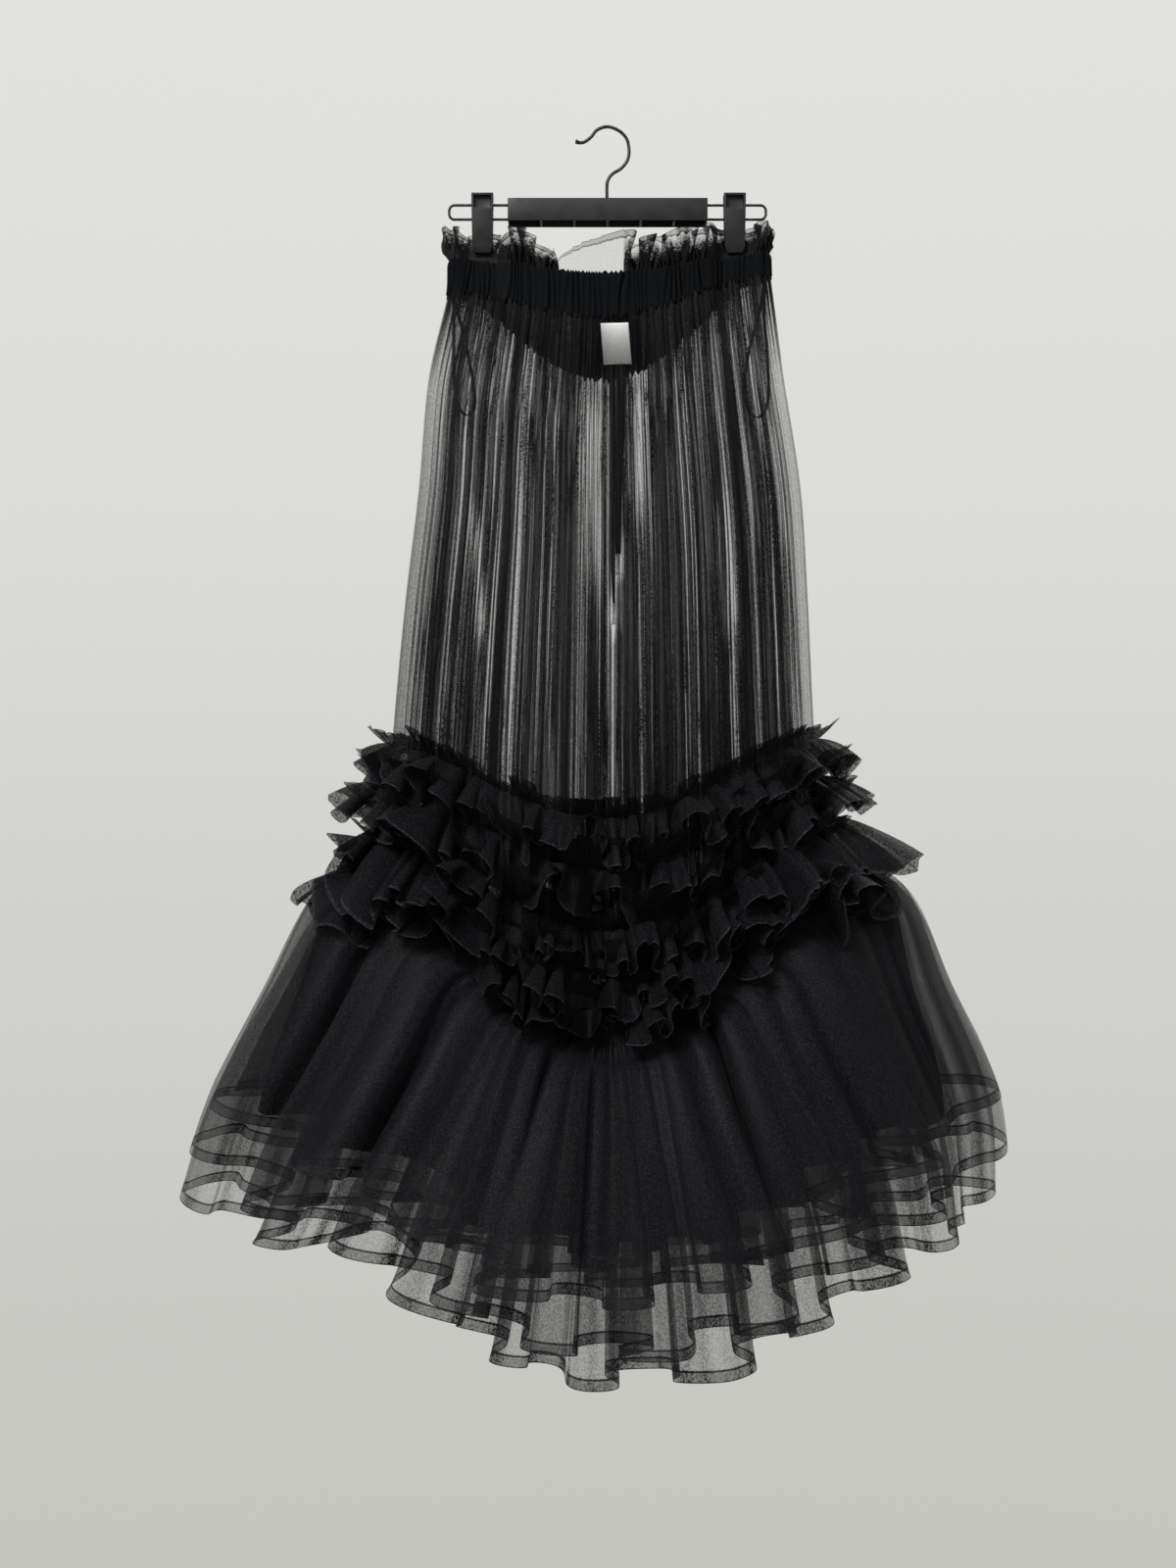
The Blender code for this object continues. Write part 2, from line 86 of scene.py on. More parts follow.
def smooth_route(points, spacing):
    """A smooth curve through the points, read at about the spacing."""
    ends = [Vector(point) for point in (points[0], *points, points[-1])]
    route = [ends[0]]
    for a, b, c, d in zip(ends, ends[1:], ends[2:], ends[3:]):
        steps = max(1, round((c - b).length / spacing))
        route += [between(a, b, c, d, step / steps) for step in range(1, steps + 1)]
    return route


def mesh_object(name, points, faces, uv, cover=None):
    """An object at the origin, with a UV map and, on sheer cloth, a cover value for each point."""
    mesh = bpy.data.meshes.new(name)
    mesh.from_pydata([tuple(point) for point in points], [], [tuple(face) for face in faces])
    if cover is not None:
        layers = mesh.attributes.new("cover", "FLOAT", "POINT")
        layers.data.foreach_set("value", np.asarray(cover, dtype=np.float32))
    cloth_map = mesh.uv_layers.new(name="cloth")
    corner = np.zeros(len(mesh.loops), dtype=np.int32)
    mesh.loops.foreach_get("vertex_index", corner)
    cloth_map.data.foreach_set("uv", np.asarray(uv, dtype=np.float32)[corner].ravel())
    mesh.shade_smooth()
    thing = bpy.data.objects.new(name, mesh)
    bpy.context.collection.objects.link(thing)
    return thing


def flat_tape(name, route, width, thickness, turns, face):
    """A flat tape along a route; face turns its broad side and turns is its twist, both in half turns."""
    half, thin = width / 2, thickness / 2
    corners = [(-half, 0), (-half * 0.9, thin), (0, thin), (half * 0.9, thin)]
    corners += [(half, 0), (half * 0.9, -thin), (0, -thin), (-half * 0.9, -thin)]
    points, uv, faces = [], [], []
    run = 0.0
    for i, place in enumerate(route):
        before, after = route[max(i - 1, 0)], route[min(i + 1, len(route) - 1)]
        along = (after - before).normalized()
        run += (place - route[i - 1]).length if i else 0.0
        angle = math.pi * (face + turns * i / len(route))
        side = Vector((math.cos(angle), math.sin(angle), 0.0))
        side = (side - along * side.dot(along)).normalized()
        front = along.cross(side)
        for j, (a, b) in enumerate(corners):
            points.append(place + side * a + front * b)
            uv.append((a if j < 5 else -a, run))
    count = len(corners)
    for i in range(len(route) - 1):
        for j in range(count):
            k = (j + 1) % count
            faces.append((i * count + j, i * count + k, (i + 1) * count + k, (i + 1) * count + j))
    faces.append(tuple(range(count - 1, -1, -1)))
    faces.append(tuple((len(route) - 1) * count + j for j in range(count)))
    return mesh_object(name, points, faces, uv)


def new_group(name, inputs, outputs):
    """An empty shader node group with its sockets inside. They hold numbers, and Place holds a vector."""
    group = bpy.data.node_groups.new(name, "ShaderNodeTree")
    for way, labels in (("INPUT", inputs), ("OUTPUT", outputs)):
        for label in labels:
            kind = "NodeSocketVector" if label == "Place" else "NodeSocketFloat"
            group.interface.new_socket(label, in_out=way, socket_type=kind)
    return group, group.nodes.new("NodeGroupInput").outputs, group.nodes.new("NodeGroupOutput").inputs


def put(tree, kind, inputs=(), **settings):
    """Adds a node. inputs are pairs of socket and either a plain value or an output socket to link."""
    node = tree.nodes.new(kind)
    for key, value in settings.items():
        setattr(node, key, value)
    for socket, value in inputs:
        if isinstance(value, bpy.types.NodeSocket):
            tree.links.new(value, node.inputs[socket])
        else:
            node.inputs[socket].default_value = value
    return node


def maths(tree, operation, *values):
    return put(tree, "ShaderNodeMath", list(enumerate(values)), operation=operation).outputs[0]


def ramp(tree, value, low, high, to_low=0.0, to_high=1.0):
    """A value mapped smoothly from one range to another."""
    pairs = zip(("Value", "From Min", "From Max", "To Min", "To Max"), (value, low, high, to_low, to_high))
    return put(tree, "ShaderNodeMapRange", pairs, interpolation_type="SMOOTHSTEP").outputs[0]


def noise(tree, place, scale, detail=2.0):
    """A cloudy pattern; scale is its lumps for each metre."""
    ends = [("Vector", place), ("Scale", scale), ("Detail", detail)]
    return put(tree, "ShaderNodeTexNoise", ends).outputs[0]


def new_material(name, colour, roughness, metallic=0.0, sheen=0.0, specular=0.5):
    """A Principled material; returns it with its node tree and shader."""
    made = bpy.data.materials.new(name)
    made.use_nodes = True
    shader = made.node_tree.nodes["Principled BSDF"]
    labels = ("Base Color", "Roughness", "Metallic", "Sheen Weight", "Specular IOR Level")
    for label, value in zip(labels, ((*colour, 1.0), roughness, metallic, sheen, specular)):
        shader.inputs[label].default_value = value
    return made, made.node_tree, shader


def place_of(tree):
    return tree.nodes.new("ShaderNodeTexCoord").outputs["Object"]


def cloth_uv(tree):
    """The cloth's own coordinates, in metres: along its run, and up from its lower edge."""
    split = put(tree, "ShaderNodeSeparateXYZ", [(0, tree.nodes.new("ShaderNodeTexCoord").outputs["UV"])])
    return split.outputs[0], split.outputs[1]


def shaded(tree, colour, shade):
    """A base colour multiplied by a shade that changes over the surface."""
    return put(tree, "ShaderNodeVectorMath", [(0, colour), ("Scale", shade)], operation="SCALE").outputs[0]


def raised(tree, shader, height, strength, distance):
    """Gives a finish its fine relief."""
    bump = put(tree, "ShaderNodeBump", [("Height", height), ("Strength", strength), ("Distance", distance)])
    tree.links.new(bump.outputs[0], shader.inputs["Normal"])


# Weave: crossing threads as a height, and their shade with a slow change in the dye.
TURN = 2.0 * math.pi
weave, weave_in, weave_out = new_group("weave", ("Across", "Along", "Pitch", "Mottle"), ("Height", "Shade"))
turns_across = maths(weave, "DIVIDE", weave_in["Across"], weave_in["Pitch"])
turns_along = maths(weave, "DIVIDE", weave_in["Along"], weave_in["Pitch"])
warp = maths(weave, "SINE", maths(weave, "MULTIPLY", turns_across, TURN))
weft = maths(weave, "SINE", maths(weave, "MULTIPLY", turns_along, TURN))
crossed = maths(weave, "MULTIPLY", warp, weft)
fuzz_at = put(weave, "ShaderNodeCombineXYZ", [(0, weave_in["Across"]), (1, weave_in["Along"])])
fuzz = noise(weave, fuzz_at.outputs[0], 260.0)
weave.links.new(maths(weave, "ADD", crossed, fuzz), weave_out["Height"])
off_middle = maths(weave, "SUBTRACT", fuzz, 0.5)
mottled = maths(weave, "ADD", maths(weave, "MULTIPLY", off_middle, weave_in["Mottle"]), 1.0)
weave.links.new(mottled, weave_out["Shade"])


def woven(name, colour, roughness, pitch, bump, specular=0.15, mottle=1.5):
    """A tightly woven cloth on the piece's own UV map."""
    made, tree, shader = new_material(name, colour, roughness, sheen=0.01, specular=specular)
    across, along = cloth_uv(tree)
    ends = [("Across", across), ("Along", along), ("Pitch", pitch), ("Mottle", mottle)]
    cloth = put(tree, "ShaderNodeGroup", ends, node_tree=weave)
    tree.links.new(shaded(tree, colour, cloth.outputs["Shade"]), shader.inputs["Base Color"])
    raised(tree, shader, cloth.outputs["Height"], 0.6, bump)
    return made


# Wear: a cloudy change in the roughness and the shade of a hard surface, from handling and dust.
WEAR = (
    "Scale", "Detail", "Rough From", "Rough To", "Smoothest", "Roughest",
    "Shade From", "Shade To", "Darkest", "Palest",
)
wear, wear_in, wear_out = new_group("wear", ("Place", *WEAR), ("Roughness", "Shade"))
wear_ends = [wear_in[label] for label in WEAR]
cloud = noise(wear, wear_in["Place"], *wear_ends[:2])
wear.links.new(ramp(wear, cloud, *wear_ends[2:6]), wear_out["Roughness"])
wear.links.new(ramp(wear, cloud, *wear_ends[6:]), wear_out["Shade"])


def worn(name, colour, values, metallic=0.0, specular=0.5):
    """A hard finish with wear; values are in the order of WEAR, and those of the shade may be left out."""
    made, tree, shader = new_material(name, colour, 0.5, metallic=metallic, specular=specular)
    ends = [("Place", place_of(tree)), *zip(WEAR, values)]
    finish = put(tree, "ShaderNodeGroup", ends, node_tree=wear)
    tree.links.new(finish.outputs["Roughness"], shader.inputs["Roughness"])
    if len(values) == len(WEAR):
        tree.links.new(shaded(tree, colour, finish.outputs["Shade"]), shader.inputs["Base Color"])
    return made, tree, shader


TIP_WEAR = (900.0, 3.0, 0.35, 0.65, 0.18, 0.42)
tape_cloth = woven("drawstring tape", BLACK_TAPE, roughness=0.75, pitch=0.0007, bump=0.0002)
crimped_metal = worn("crimped tip", (0.56, 0.56, 0.57), TIP_WEAR, metallic=1.0)[0]


def dress(piece, material, slot, *nodes):
    """Gives a piece its finish, its body and the solids that it stands in for."""
    piece.data.materials.append(material)
    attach(piece, "root")
    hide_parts(*nodes)


def cut_across(place, normal):
    """Cuts all that is in edit mode across a plane."""
    bpy.ops.mesh.select_all(action="SELECT")
    bpy.ops.mesh.bisect(plane_co=place, plane_no=normal)


def metal_tip(side, foot):
    """A flattened metal sleeve, crimped near both of its ends."""
    top = foot - Vector((0.0, 0.0, TIP_GAP))
    middle = top - Vector((0.0, 0.0, TIP_LENGTH / 2))
    bpy.ops.mesh.primitive_cylinder_add(vertices=24, radius=TIP_RADIUS, depth=TIP_LENGTH, location=middle)
    tip = bpy.context.object
    tip.name = "tape_tip_" + side
    bpy.ops.object.transform_apply()
    bpy.ops.object.mode_set(mode="EDIT")
    for cut in sorted(TIP_CRIMPS + TIP_RIMS):
        cut_across(top - Vector((0.0, 0.0, cut)), (0.0, 0.0, 1.0))
    bpy.ops.object.mode_set(mode="OBJECT")
    for point in tip.data.vertices:
        crimped = any(abs(top.z - point.co.z - crimp) < 0.0005 for crimp in TIP_CRIMPS)
        pinch = TIP_PINCH if crimped else 1.0
        point.co.x = foot.x + (point.co.x - foot.x) * pinch
        point.co.y = foot.y + (point.co.y - foot.y) * TIP_FLATNESS * pinch
    bpy.ops.object.shade_smooth_by_angle(angle=math.radians(40))
    dress(tip, crimped_metal, "tip_metal", "drawstring_tip_" + side)
    return tip


bpy.ops.object.select_all(action="DESELECT")
for side, string in DRAWSTRINGS.items():
    places = []
    for part in (0.0, 0.15, 0.35, 0.6, 0.8, 1.0):
        sway = TAPE_SWAY * math.sin(part * 7.0)
        x = string["start"] + (string["end"] - string["start"]) * part + sway
        places.append((x, CORD_Y, TAPE_TOP + (string["foot"] - TAPE_TOP) * part))
    route = smooth_route(places, 0.006)
    name = "drawstring_tape_" + side
    tape = flat_tape(name, route, TAPE_WIDTH, TAPE_THICKNESS, string["turns"], string["face"])
    dress(tape, tape_cloth, "drawstring_tape", "drawstring_" + side)
    tip = metal_tip(side, Vector(places[-1]))

# Side loops: 3 mm satin ribbon, both ends sewn into the casing, hanging inside each side seam.
# A garment is hung by them in a shop.
RIBBON_WIDTH = 0.0032
RIBBON_THICKNESS = 0.0006
SIDE_LOOPS = {
    "left": (
        (-0.1470, -0.0019, -0.1530), (-0.1460, -0.0024, -0.1700), (-0.1462, -0.0035, -0.2100),
        (-0.1455, -0.0038, -0.2450), (-0.1415, -0.0030, -0.2650), (-0.1340, 0.0000, -0.2730),
        (-0.1270, 0.0030, -0.2650), (-0.1275, 0.0038, -0.2450), (-0.1340, 0.0035, -0.2100),
        (-0.1435, 0.0024, -0.1700), (-0.1470, 0.0019, -0.1530),
    ),
    "right": (
        (0.1498, -0.0019, -0.1360), (0.1490, -0.0020, -0.1480), (0.1440, -0.0024, -0.1760),
        (0.1340, -0.0035, -0.2130), (0.1296, -0.0038, -0.2500), (0.1345, -0.0030, -0.2690),
        (0.1420, 0.0000, -0.2750), (0.1500, 0.0030, -0.2680), (0.1535, 0.0038, -0.2500),
        (0.1520, 0.0035, -0.2130), (0.1490, 0.0024, -0.1760), (0.1494, 0.0020, -0.1480),
        (0.1498, 0.0019, -0.1360),
    ),
}
satin = woven("satin ribbon", BLACK_TAPE, roughness=0.38, pitch=0.0005, bump=0.00008, specular=0.4)
for side, points in SIDE_LOOPS.items():
    route = smooth_route(points, 0.004)
    name = "hanging_ribbon_" + side
    ribbon = flat_tape(name, route, RIBBON_WIDTH, RIBBON_THICKNESS, turns=0.0, face=0.08)
    dress(ribbon, satin, "loop_ribbon", "side_loop_" + side)

# Hanger hook and wire loops: round wire with a dark plated finish, bent on a former.
# The hook's tip is knocked a little thicker, and the ends of the wires are moulded into the bar.
HOOK_RADIUS = 0.0016
HOOK_TIP_START = -0.0262
HOOK_TIP_EASE = 0.003
HOOK_TIP_Z = -0.0130
HOOK_TIP_GROWTH = 0.35
WIRE_GAP = 0.0003
LOOP_RADIUS = 0.0013
LOOP_REACH = 0.1505
LOOP_UPPER = -0.0732
LOOP_LOWER = -0.0867
LOOP_CORNER = 0.005
BAR_LENGTH = 0.189
BAR_TOP = -0.0695
BAR_BOTTOM = -0.0908
HOOK = (
    (-0.0305, -0.0125), (-0.0235, -0.0135), (-0.0160, -0.0085), (-0.0100, -0.0015),
    (0.0000, HOOK_RADIUS), (0.0105, -0.0020), (0.0180, -0.0095), (0.0205, -0.0205),
    (0.0190, -0.0300), (0.0130, -0.0380), (0.0050, -0.0430), (0.0010, -0.0480),
    (-0.0005, -0.0540), (-0.0005, BAR_TOP + WIRE_GAP),
)
WIRE_WEAR = (420.0, 4.0, 0.35, 0.7, 0.26, 0.5, 0.4, 0.75, 0.7, 1.5)
plated = worn("plated wire", (0.016, 0.016, 0.018), WIRE_WEAR, metallic=0.8)[0]


def bent_wire(name, route, radius, node):
    """A wire along a route, turned into a mesh with rounded ends."""
    curve = bpy.data.curves.new(name, "CURVE")
    curve.dimensions = "3D"
    curve.bevel_depth = radius
    curve.bevel_resolution = 5
    curve.use_fill_caps = True
    spline = curve.splines.new("POLY")
    spline.points.add(len(route) - 1)
    for point, place in zip(spline.points, route):
        point.co = (*place, 1.0)
    wire = bpy.data.objects.new(name, curve)
    bpy.context.collection.objects.link(wire)
    bpy.ops.object.select_all(action="DESELECT")
    wire.select_set(True)
    bpy.context.view_layer.objects.active = wire
    bpy.ops.object.convert(target="MESH")
    bpy.ops.object.shade_smooth_by_angle(angle=math.radians(40))
    wire.data.materials.clear()
    dress(wire, plated, "hanger_metal", node)
    return wire


hook_route = smooth_route([(x, 0.0, z) for x, z in HOOK], 0.0015)
hook = bent_wire("hook_wire", hook_route, HOOK_RADIUS, "hanger_hook")
for point in hook.data.vertices:
    growth = HOOK_TIP_GROWTH * max(0.0, min(1.0, (HOOK_TIP_START - point.co.x) / HOOK_TIP_EASE))
    point.co.y *= 1.0 + growth
    point.co.z += (point.co.z - HOOK_TIP_Z) * growth
for side, sign in (("left", -1), ("right", 1)):
    start = sign * (BAR_LENGTH / 2 + WIRE_GAP)
    end = sign * LOOP_REACH
    route = [Vector((start, 0.0, LOOP_UPPER))]
    for top, turn in ((LOOP_UPPER - LOOP_CORNER, 0), (LOOP_LOWER + LOOP_CORNER, 1)):
        for step in range(9):
            angle = math.pi / 2 * (1 - step / 8 - turn)
            x = end - sign * LOOP_CORNER * (1 - math.cos(angle))
            route.append(Vector((x, 0.0, top + LOOP_CORNER * math.sin(angle))))
    route.append(Vector((start, 0.0, LOOP_LOWER)))
    bent_wire("loop_wire_" + side, route, LOOP_RADIUS, "hanger_wire_" + side)

# Hanger bar: one moulding in matte black plastic, a channel open below with ribs across it.
# Its long edges are slightly rounded.
BAR_DEPTH = 0.026
BAR_CELLS = 6
BAR_WALL = 0.0011
BAR_POCKET = 0.016
BAR_EDGE = 0.0004
PLASTIC = (0.0052, 0.0052, 0.0056)
PLASTIC_WEAR = (60.0, 4.0, 0.3, 0.7, 0.42, 0.6, 0.35, 0.7, 0.85, 1.3)

moulded, moulded_tree, moulded_shader = worn("moulded plastic", PLASTIC, PLASTIC_WEAR, specular=0.17)
pebble = noise(moulded_tree, place_of(moulded_tree), 1400.0)
raised(moulded_tree, moulded_shader, pebble, 0.35, 0.0001)


def block(name, size, centre):
    """A plain block in edit mode, the start of a moulding."""
    bpy.ops.object.select_all(action="DESELECT")
    bpy.ops.mesh.primitive_cube_add(size=1.0, location=centre)
    thing = bpy.context.object
    thing.name = name
    thing.scale = size
    bpy.ops.object.transform_apply()
    bpy.ops.object.mode_set(mode="EDIT")
    return thing


def pick_faces(thing, test):
    """Selects the faces whose centre and normal pass a test, in edit mode."""
    bpy.ops.mesh.select_all(action="DESELECT")
    bpy.ops.object.mode_set(mode="OBJECT")
    for face in thing.data.polygons:
        face.select = test(face.center, face.normal)
    bpy.ops.object.mode_set(mode="EDIT")


def finish_moulding(thing, bevel, node):
    """Rounds a moulding's edges and gives it its finish."""
    rounding = thing.modifiers.new("edges", "BEVEL")
    rounding.width = bevel
    rounding.segments = 3
    rounding.limit_method = "ANGLE"
    bpy.ops.object.modifier_apply(modifier=rounding.name)
    bpy.ops.object.shade_smooth_by_angle(angle=math.radians(35))
    dress(thing, moulded, "hanger_plastic", node)


bar_size = (BAR_LENGTH, BAR_DEPTH, BAR_TOP - BAR_BOTTOM)
bar = block("bar_moulding", bar_size, (0.0, 0.0, (BAR_TOP + BAR_BOTTOM) / 2))
for cell in range(1, BAR_CELLS):
    cut_across((-BAR_LENGTH / 2 + BAR_LENGTH * cell / BAR_CELLS, 0.0, 0.0), (1.0, 0.0, 0.0))
pick_faces(bar, lambda centre, normal: normal.z < -0.9)
bpy.ops.mesh.inset(thickness=BAR_WALL, depth=0.0, use_individual=True)
bpy.ops.mesh.inset(thickness=BAR_WALL / 8, depth=-BAR_POCKET, use_individual=True)
bpy.ops.object.mode_set(mode="OBJECT")
finish_moulding(bar, BAR_EDGE, "hanger_bar")

# Clips: two moulded jaws on each wire loop, each with a sunk thumb grip at its head.
# They slide along the wires and hold the frill between their lower ends.
CLIP_CENTRES = {"left": -0.1188, "right": 0.1207}
CLIP_HEAD = 0.0210
CLIP_FOOT = 0.0190
CLIP_TOP = -0.0628
CLIP_BOTTOM = -0.1195
CLIP_JAW = 0.0055
CLIP_EDGE = 0.0006
CLIP_INNER_FACE = 0.0017
GRIP_FOOT = -0.0790
GRIP_RIM = 0.0022
GRIP_DEPTH = 0.0046
TOE_HEIGHT = 0.006
TOE_FROM = 0.95
TOE_NARROWING = 0.78
TOE_THINNING = 0.0022

for side, middle in CLIP_CENTRES.items():
    for place, sign in (("front", -1), ("back", 1)):
        height = CLIP_TOP - CLIP_BOTTOM
        centre = (middle, sign * (CLIP_INNER_FACE + CLIP_JAW / 2), (CLIP_TOP + CLIP_BOTTOM) / 2)
        jaw = block("jaw_" + side + "_" + place, (CLIP_HEAD, CLIP_JAW, height), centre)
        for cut_z in (GRIP_FOOT, CLIP_BOTTOM + TOE_HEIGHT):
            cut_across((0.0, 0.0, cut_z), (0.0, 0.0, 1.0))
        pick_faces(jaw, lambda spot, normal: normal.y * sign > 0.9 and spot.z > GRIP_FOOT)
        bpy.ops.mesh.inset(thickness=GRIP_RIM, depth=0.0)
        bpy.ops.mesh.inset(thickness=GRIP_RIM / 4, depth=-GRIP_DEPTH)
        bpy.ops.object.mode_set(mode="OBJECT")
        for point in jaw.data.vertices:
            down = (CLIP_TOP - point.co.z) / height
            narrow = 1.0 + (CLIP_FOOT / CLIP_HEAD - 1.0) * down
            if down > TOE_FROM:
                narrow *= TOE_NARROWING
                if point.co.y * sign > CLIP_INNER_FACE + 0.001:
                    point.co.y -= sign * TOE_THINNING
            point.co.x = middle + (point.co.x - middle) * narrow
        finish_moulding(jaw, CLIP_EDGE, "clip_" + side + "_" + place)

# Frill: the heading above the casing, one strip of double net with its fold at the top.
# The elastic below throws it into loops; the clips press it flat.
# The skirt's body at eleven levels: the casing's two edges, four down to the flounce seam at level 6,
# and on to the lowest hem. Each has its reach on four sides, how boxy its round is, how much the clips
# pinch it, its heights, what the right side stands higher, and how narrow its drop at the middle is.
COLUMNS = ("left", "right", "front", "back", "square", "pinch", "side_z", "front_z", "back_z", "tilt", "dip")
SKIRT = (
    (0.149, 0.152, 0.022, 0.034, 0.60, 0.88, -0.1225, -0.142, -0.166, 0.003, 4.0),
    (0.151, 0.154, 0.024, 0.036, 0.60, 0.60, -0.1500, -0.185, -0.233, 0.009, 4.0),
    (0.170, 0.166, 0.045, 0.056, 0.85, 0.00, -0.2360, -0.275, -0.305, 0.005, 4.0),
    (0.179, 0.183, 0.068, 0.076, 0.95, 0.00, -0.3430, -0.390, -0.410, 0.000, 4.0),
    (0.192, 0.190, 0.086, 0.092, 1.00, 0.00, -0.4520, -0.510, -0.525, 0.000, 4.0),
    (0.204, 0.196, 0.098, 0.102, 1.00, 0.00, -0.5790, -0.647, -0.662, 0.003, 4.0),
    (0.214, 0.208, 0.105, 0.110, 1.00, 0.00, -0.7200, -0.850, -0.868, 0.002, 4.0),
    (0.264, 0.272, 0.140, 0.146, 1.00, 0.00, -0.7500, -0.882, -0.900, 0.002, 4.0),
    (0.300, 0.300, 0.180, 0.186, 1.00, 0.00, -0.8220, -0.945, -0.962, 0.002, 3.2),
    (0.344, 0.336, 0.212, 0.218, 1.00, 0.00, -0.9200, -1.030, -1.050, 0.002, 2.5),
    (0.372, 0.342, 0.234, 0.240, 1.00, 0.00, -1.0150, -1.128, -1.152, 0.000, 2.0),
)
STATIONS = {name: np.array([row[i] for row in SKIRT]) for i, name in enumerate(COLUMNS)}
EVEN_WIDTH = 0.18
EVEN_DEPTH = 0.06
CLIP_SPAN = 0.0125
CLIP_EASE = 0.0135
PINCHED_HALF_DEPTH = 0.0008
FRILL_LOOPS = 24
FRILL_HEIGHT = 0.035


def station(name, row):
    """A column of the skirt's table at any level, on a smooth curve through its values."""
    values = STATIONS[name]
    row = np.clip(row, 0.0, len(values) - 1.0)
    below = np.minimum(row.astype(int), len(values) - 2)
    before = values[np.maximum(below - 1, 0)]
    after = values[np.minimum(below + 2, len(values) - 1)]
    return between(before, values[below], values[below + 1], after, row - below)


# The way round is measured along an even oval, so that gathers keep their spacing at the sides.
fine_angle = np.linspace(-TURN, 4.0 * math.pi, 6001)
fine_step = np.hypot(EVEN_WIDTH * np.diff(np.cos(fine_angle)), EVEN_DEPTH * np.diff(np.sin(fine_angle)))
fine_run = np.concatenate(([0.0], np.cumsum(fine_step)))
fine_turn = fine_run / fine_run[-1] * 3.0 - 1.0


def angle_at(turn):
    """The angle round the skirt at a share of the way round: 0 at the right side, then over the back."""
    return np.interp(turn, fine_turn, fine_angle)


def clip_press(x):
    """1 where a clip's jaws press the cloth flat, 0 well clear of them."""
    off = np.minimum(np.abs(x - CLIP_CENTRES["left"]), np.abs(x - CLIP_CENTRES["right"]))
    ease = np.clip((off - CLIP_SPAN) / CLIP_EASE, 0.0, 1.0)
    return 1.0 - ease * ease * (3.0 - 2.0 * ease)


def reach_of(row, angle):
    """How far the body reaches from its middle, across and from front to back."""
    width = np.where(np.cos(angle) > 0, station("right", row), station("left", row))
    depth = np.where(np.sin(angle) > 0, station("back", row), station("front", row))
    return width, depth


def outward(row, angle):
    """The level direction that points away from the skirt."""
    width, depth = reach_of(row, angle)
    level = np.stack((np.cos(angle) / width, np.sin(angle) / depth, np.zeros_like(angle)), axis=-1)
    return level / np.linalg.norm(level, axis=-1, keepdims=True)


def body(row, angle, pinch=None):
    """Points of the skirt's smooth body."""
    across, away = np.cos(angle), np.sin(angle)
    width, depth = reach_of(row, angle)
    x = across * width
    y = np.sign(away) * depth * np.abs(away) ** station("square", row)
    amount = station("pinch", row) if pinch is None else pinch
    press = clip_press(x) * np.clip(amount, 0.0, 1.0)
    y = y * (1.0 - press) + np.sign(away) * PINCHED_HALF_DEPTH * press
    middle = np.where(away > 0, station("back_z", row), station("front_z", row))
    sag = np.abs(away) ** station("dip", row)
    z = station("side_z", row) * (1.0 - sag) + middle * sag + station("tilt", row) * across
    return np.stack((x, y, z), axis=-1)


def wander(turn, down, seed, low, high, drift=1.0, count=9):
    """A smooth change round the skirt, mostly between -1 and 1, that drifts a little on the way down.

    It has between low and high waves in a whole turn.
    """
    dice = np.random.RandomState(seed)
    total = np.zeros(np.broadcast(turn, down).shape)
    for _ in range(count):
        waves = dice.randint(low, high + 1)
        shift, slide = dice.uniform(0.0, TURN), dice.uniform(-drift, drift)
        total += np.sin(TURN * waves * turn + shift + slide * down)
    return total / math.sqrt(count)


def grids(made):
    """A sheet's points, run, up and cover from its rows, where a plain number holds for a whole row."""
    points, *others = zip(*made)
    columns = len(points[0])
    wide = [np.stack([np.broadcast_to(value, columns) for value in values]) for values in others]
    return [np.stack(points)] + wide


def cloth_piece(name, points, run, up, cover, span=None):
    """A single sheet from a grid of points: the whole way round, or the columns of its span.

    run and up are its own coordinates in metres; cover is how much of the light one layer stops.
    """
    columns = points.shape[1]
    picked = np.arange(columns) if span is None else np.arange(span[0], span[1] + 1) % columns
    points, run, up, cover = points[:, picked], run[:, picked], up[:, picked], cover[:, picked]
    index = np.arange(run.size).reshape(run.shape)
    here = index if span is None else index[:, :-1]
    beside = np.roll(index, -1, axis=1)[:, :here.shape[1]]
    quads = np.stack((here[:-1], here[1:], beside[1:], beside[:-1]), axis=-1).reshape(-1, 4)
    uv = np.stack((run, up), axis=-1).reshape(-1, 2)
    return mesh_object(name, points.reshape(-1, 3), quads, uv, cover.ravel())


def hang(piece, material, slot, nodes):
    """Gives a gathered sheet its finish, its body and the solids of its nodes that it stands in for."""
    dress(piece, material, slot, *nodes)


# Fine net: threads as a grain over the cloth.
net_grain, net_in, net_out = new_group("net grain", ("Place", "Cover"), ("Cover", "Shade"))
threads = noise(net_grain, net_in["Place"], 620.0, 1.0)
grain = ramp(net_grain, threads, 0.36, 0.66, 0.78, 1.25)
net_grain.links.new(maths(net_grain, "MULTIPLY", net_in["Cover"], grain), net_out["Cover"])
net_grain.links.new(ramp(net_grain, threads, 0.35, 0.7, 0.6, 1.7), net_out["Shade"])

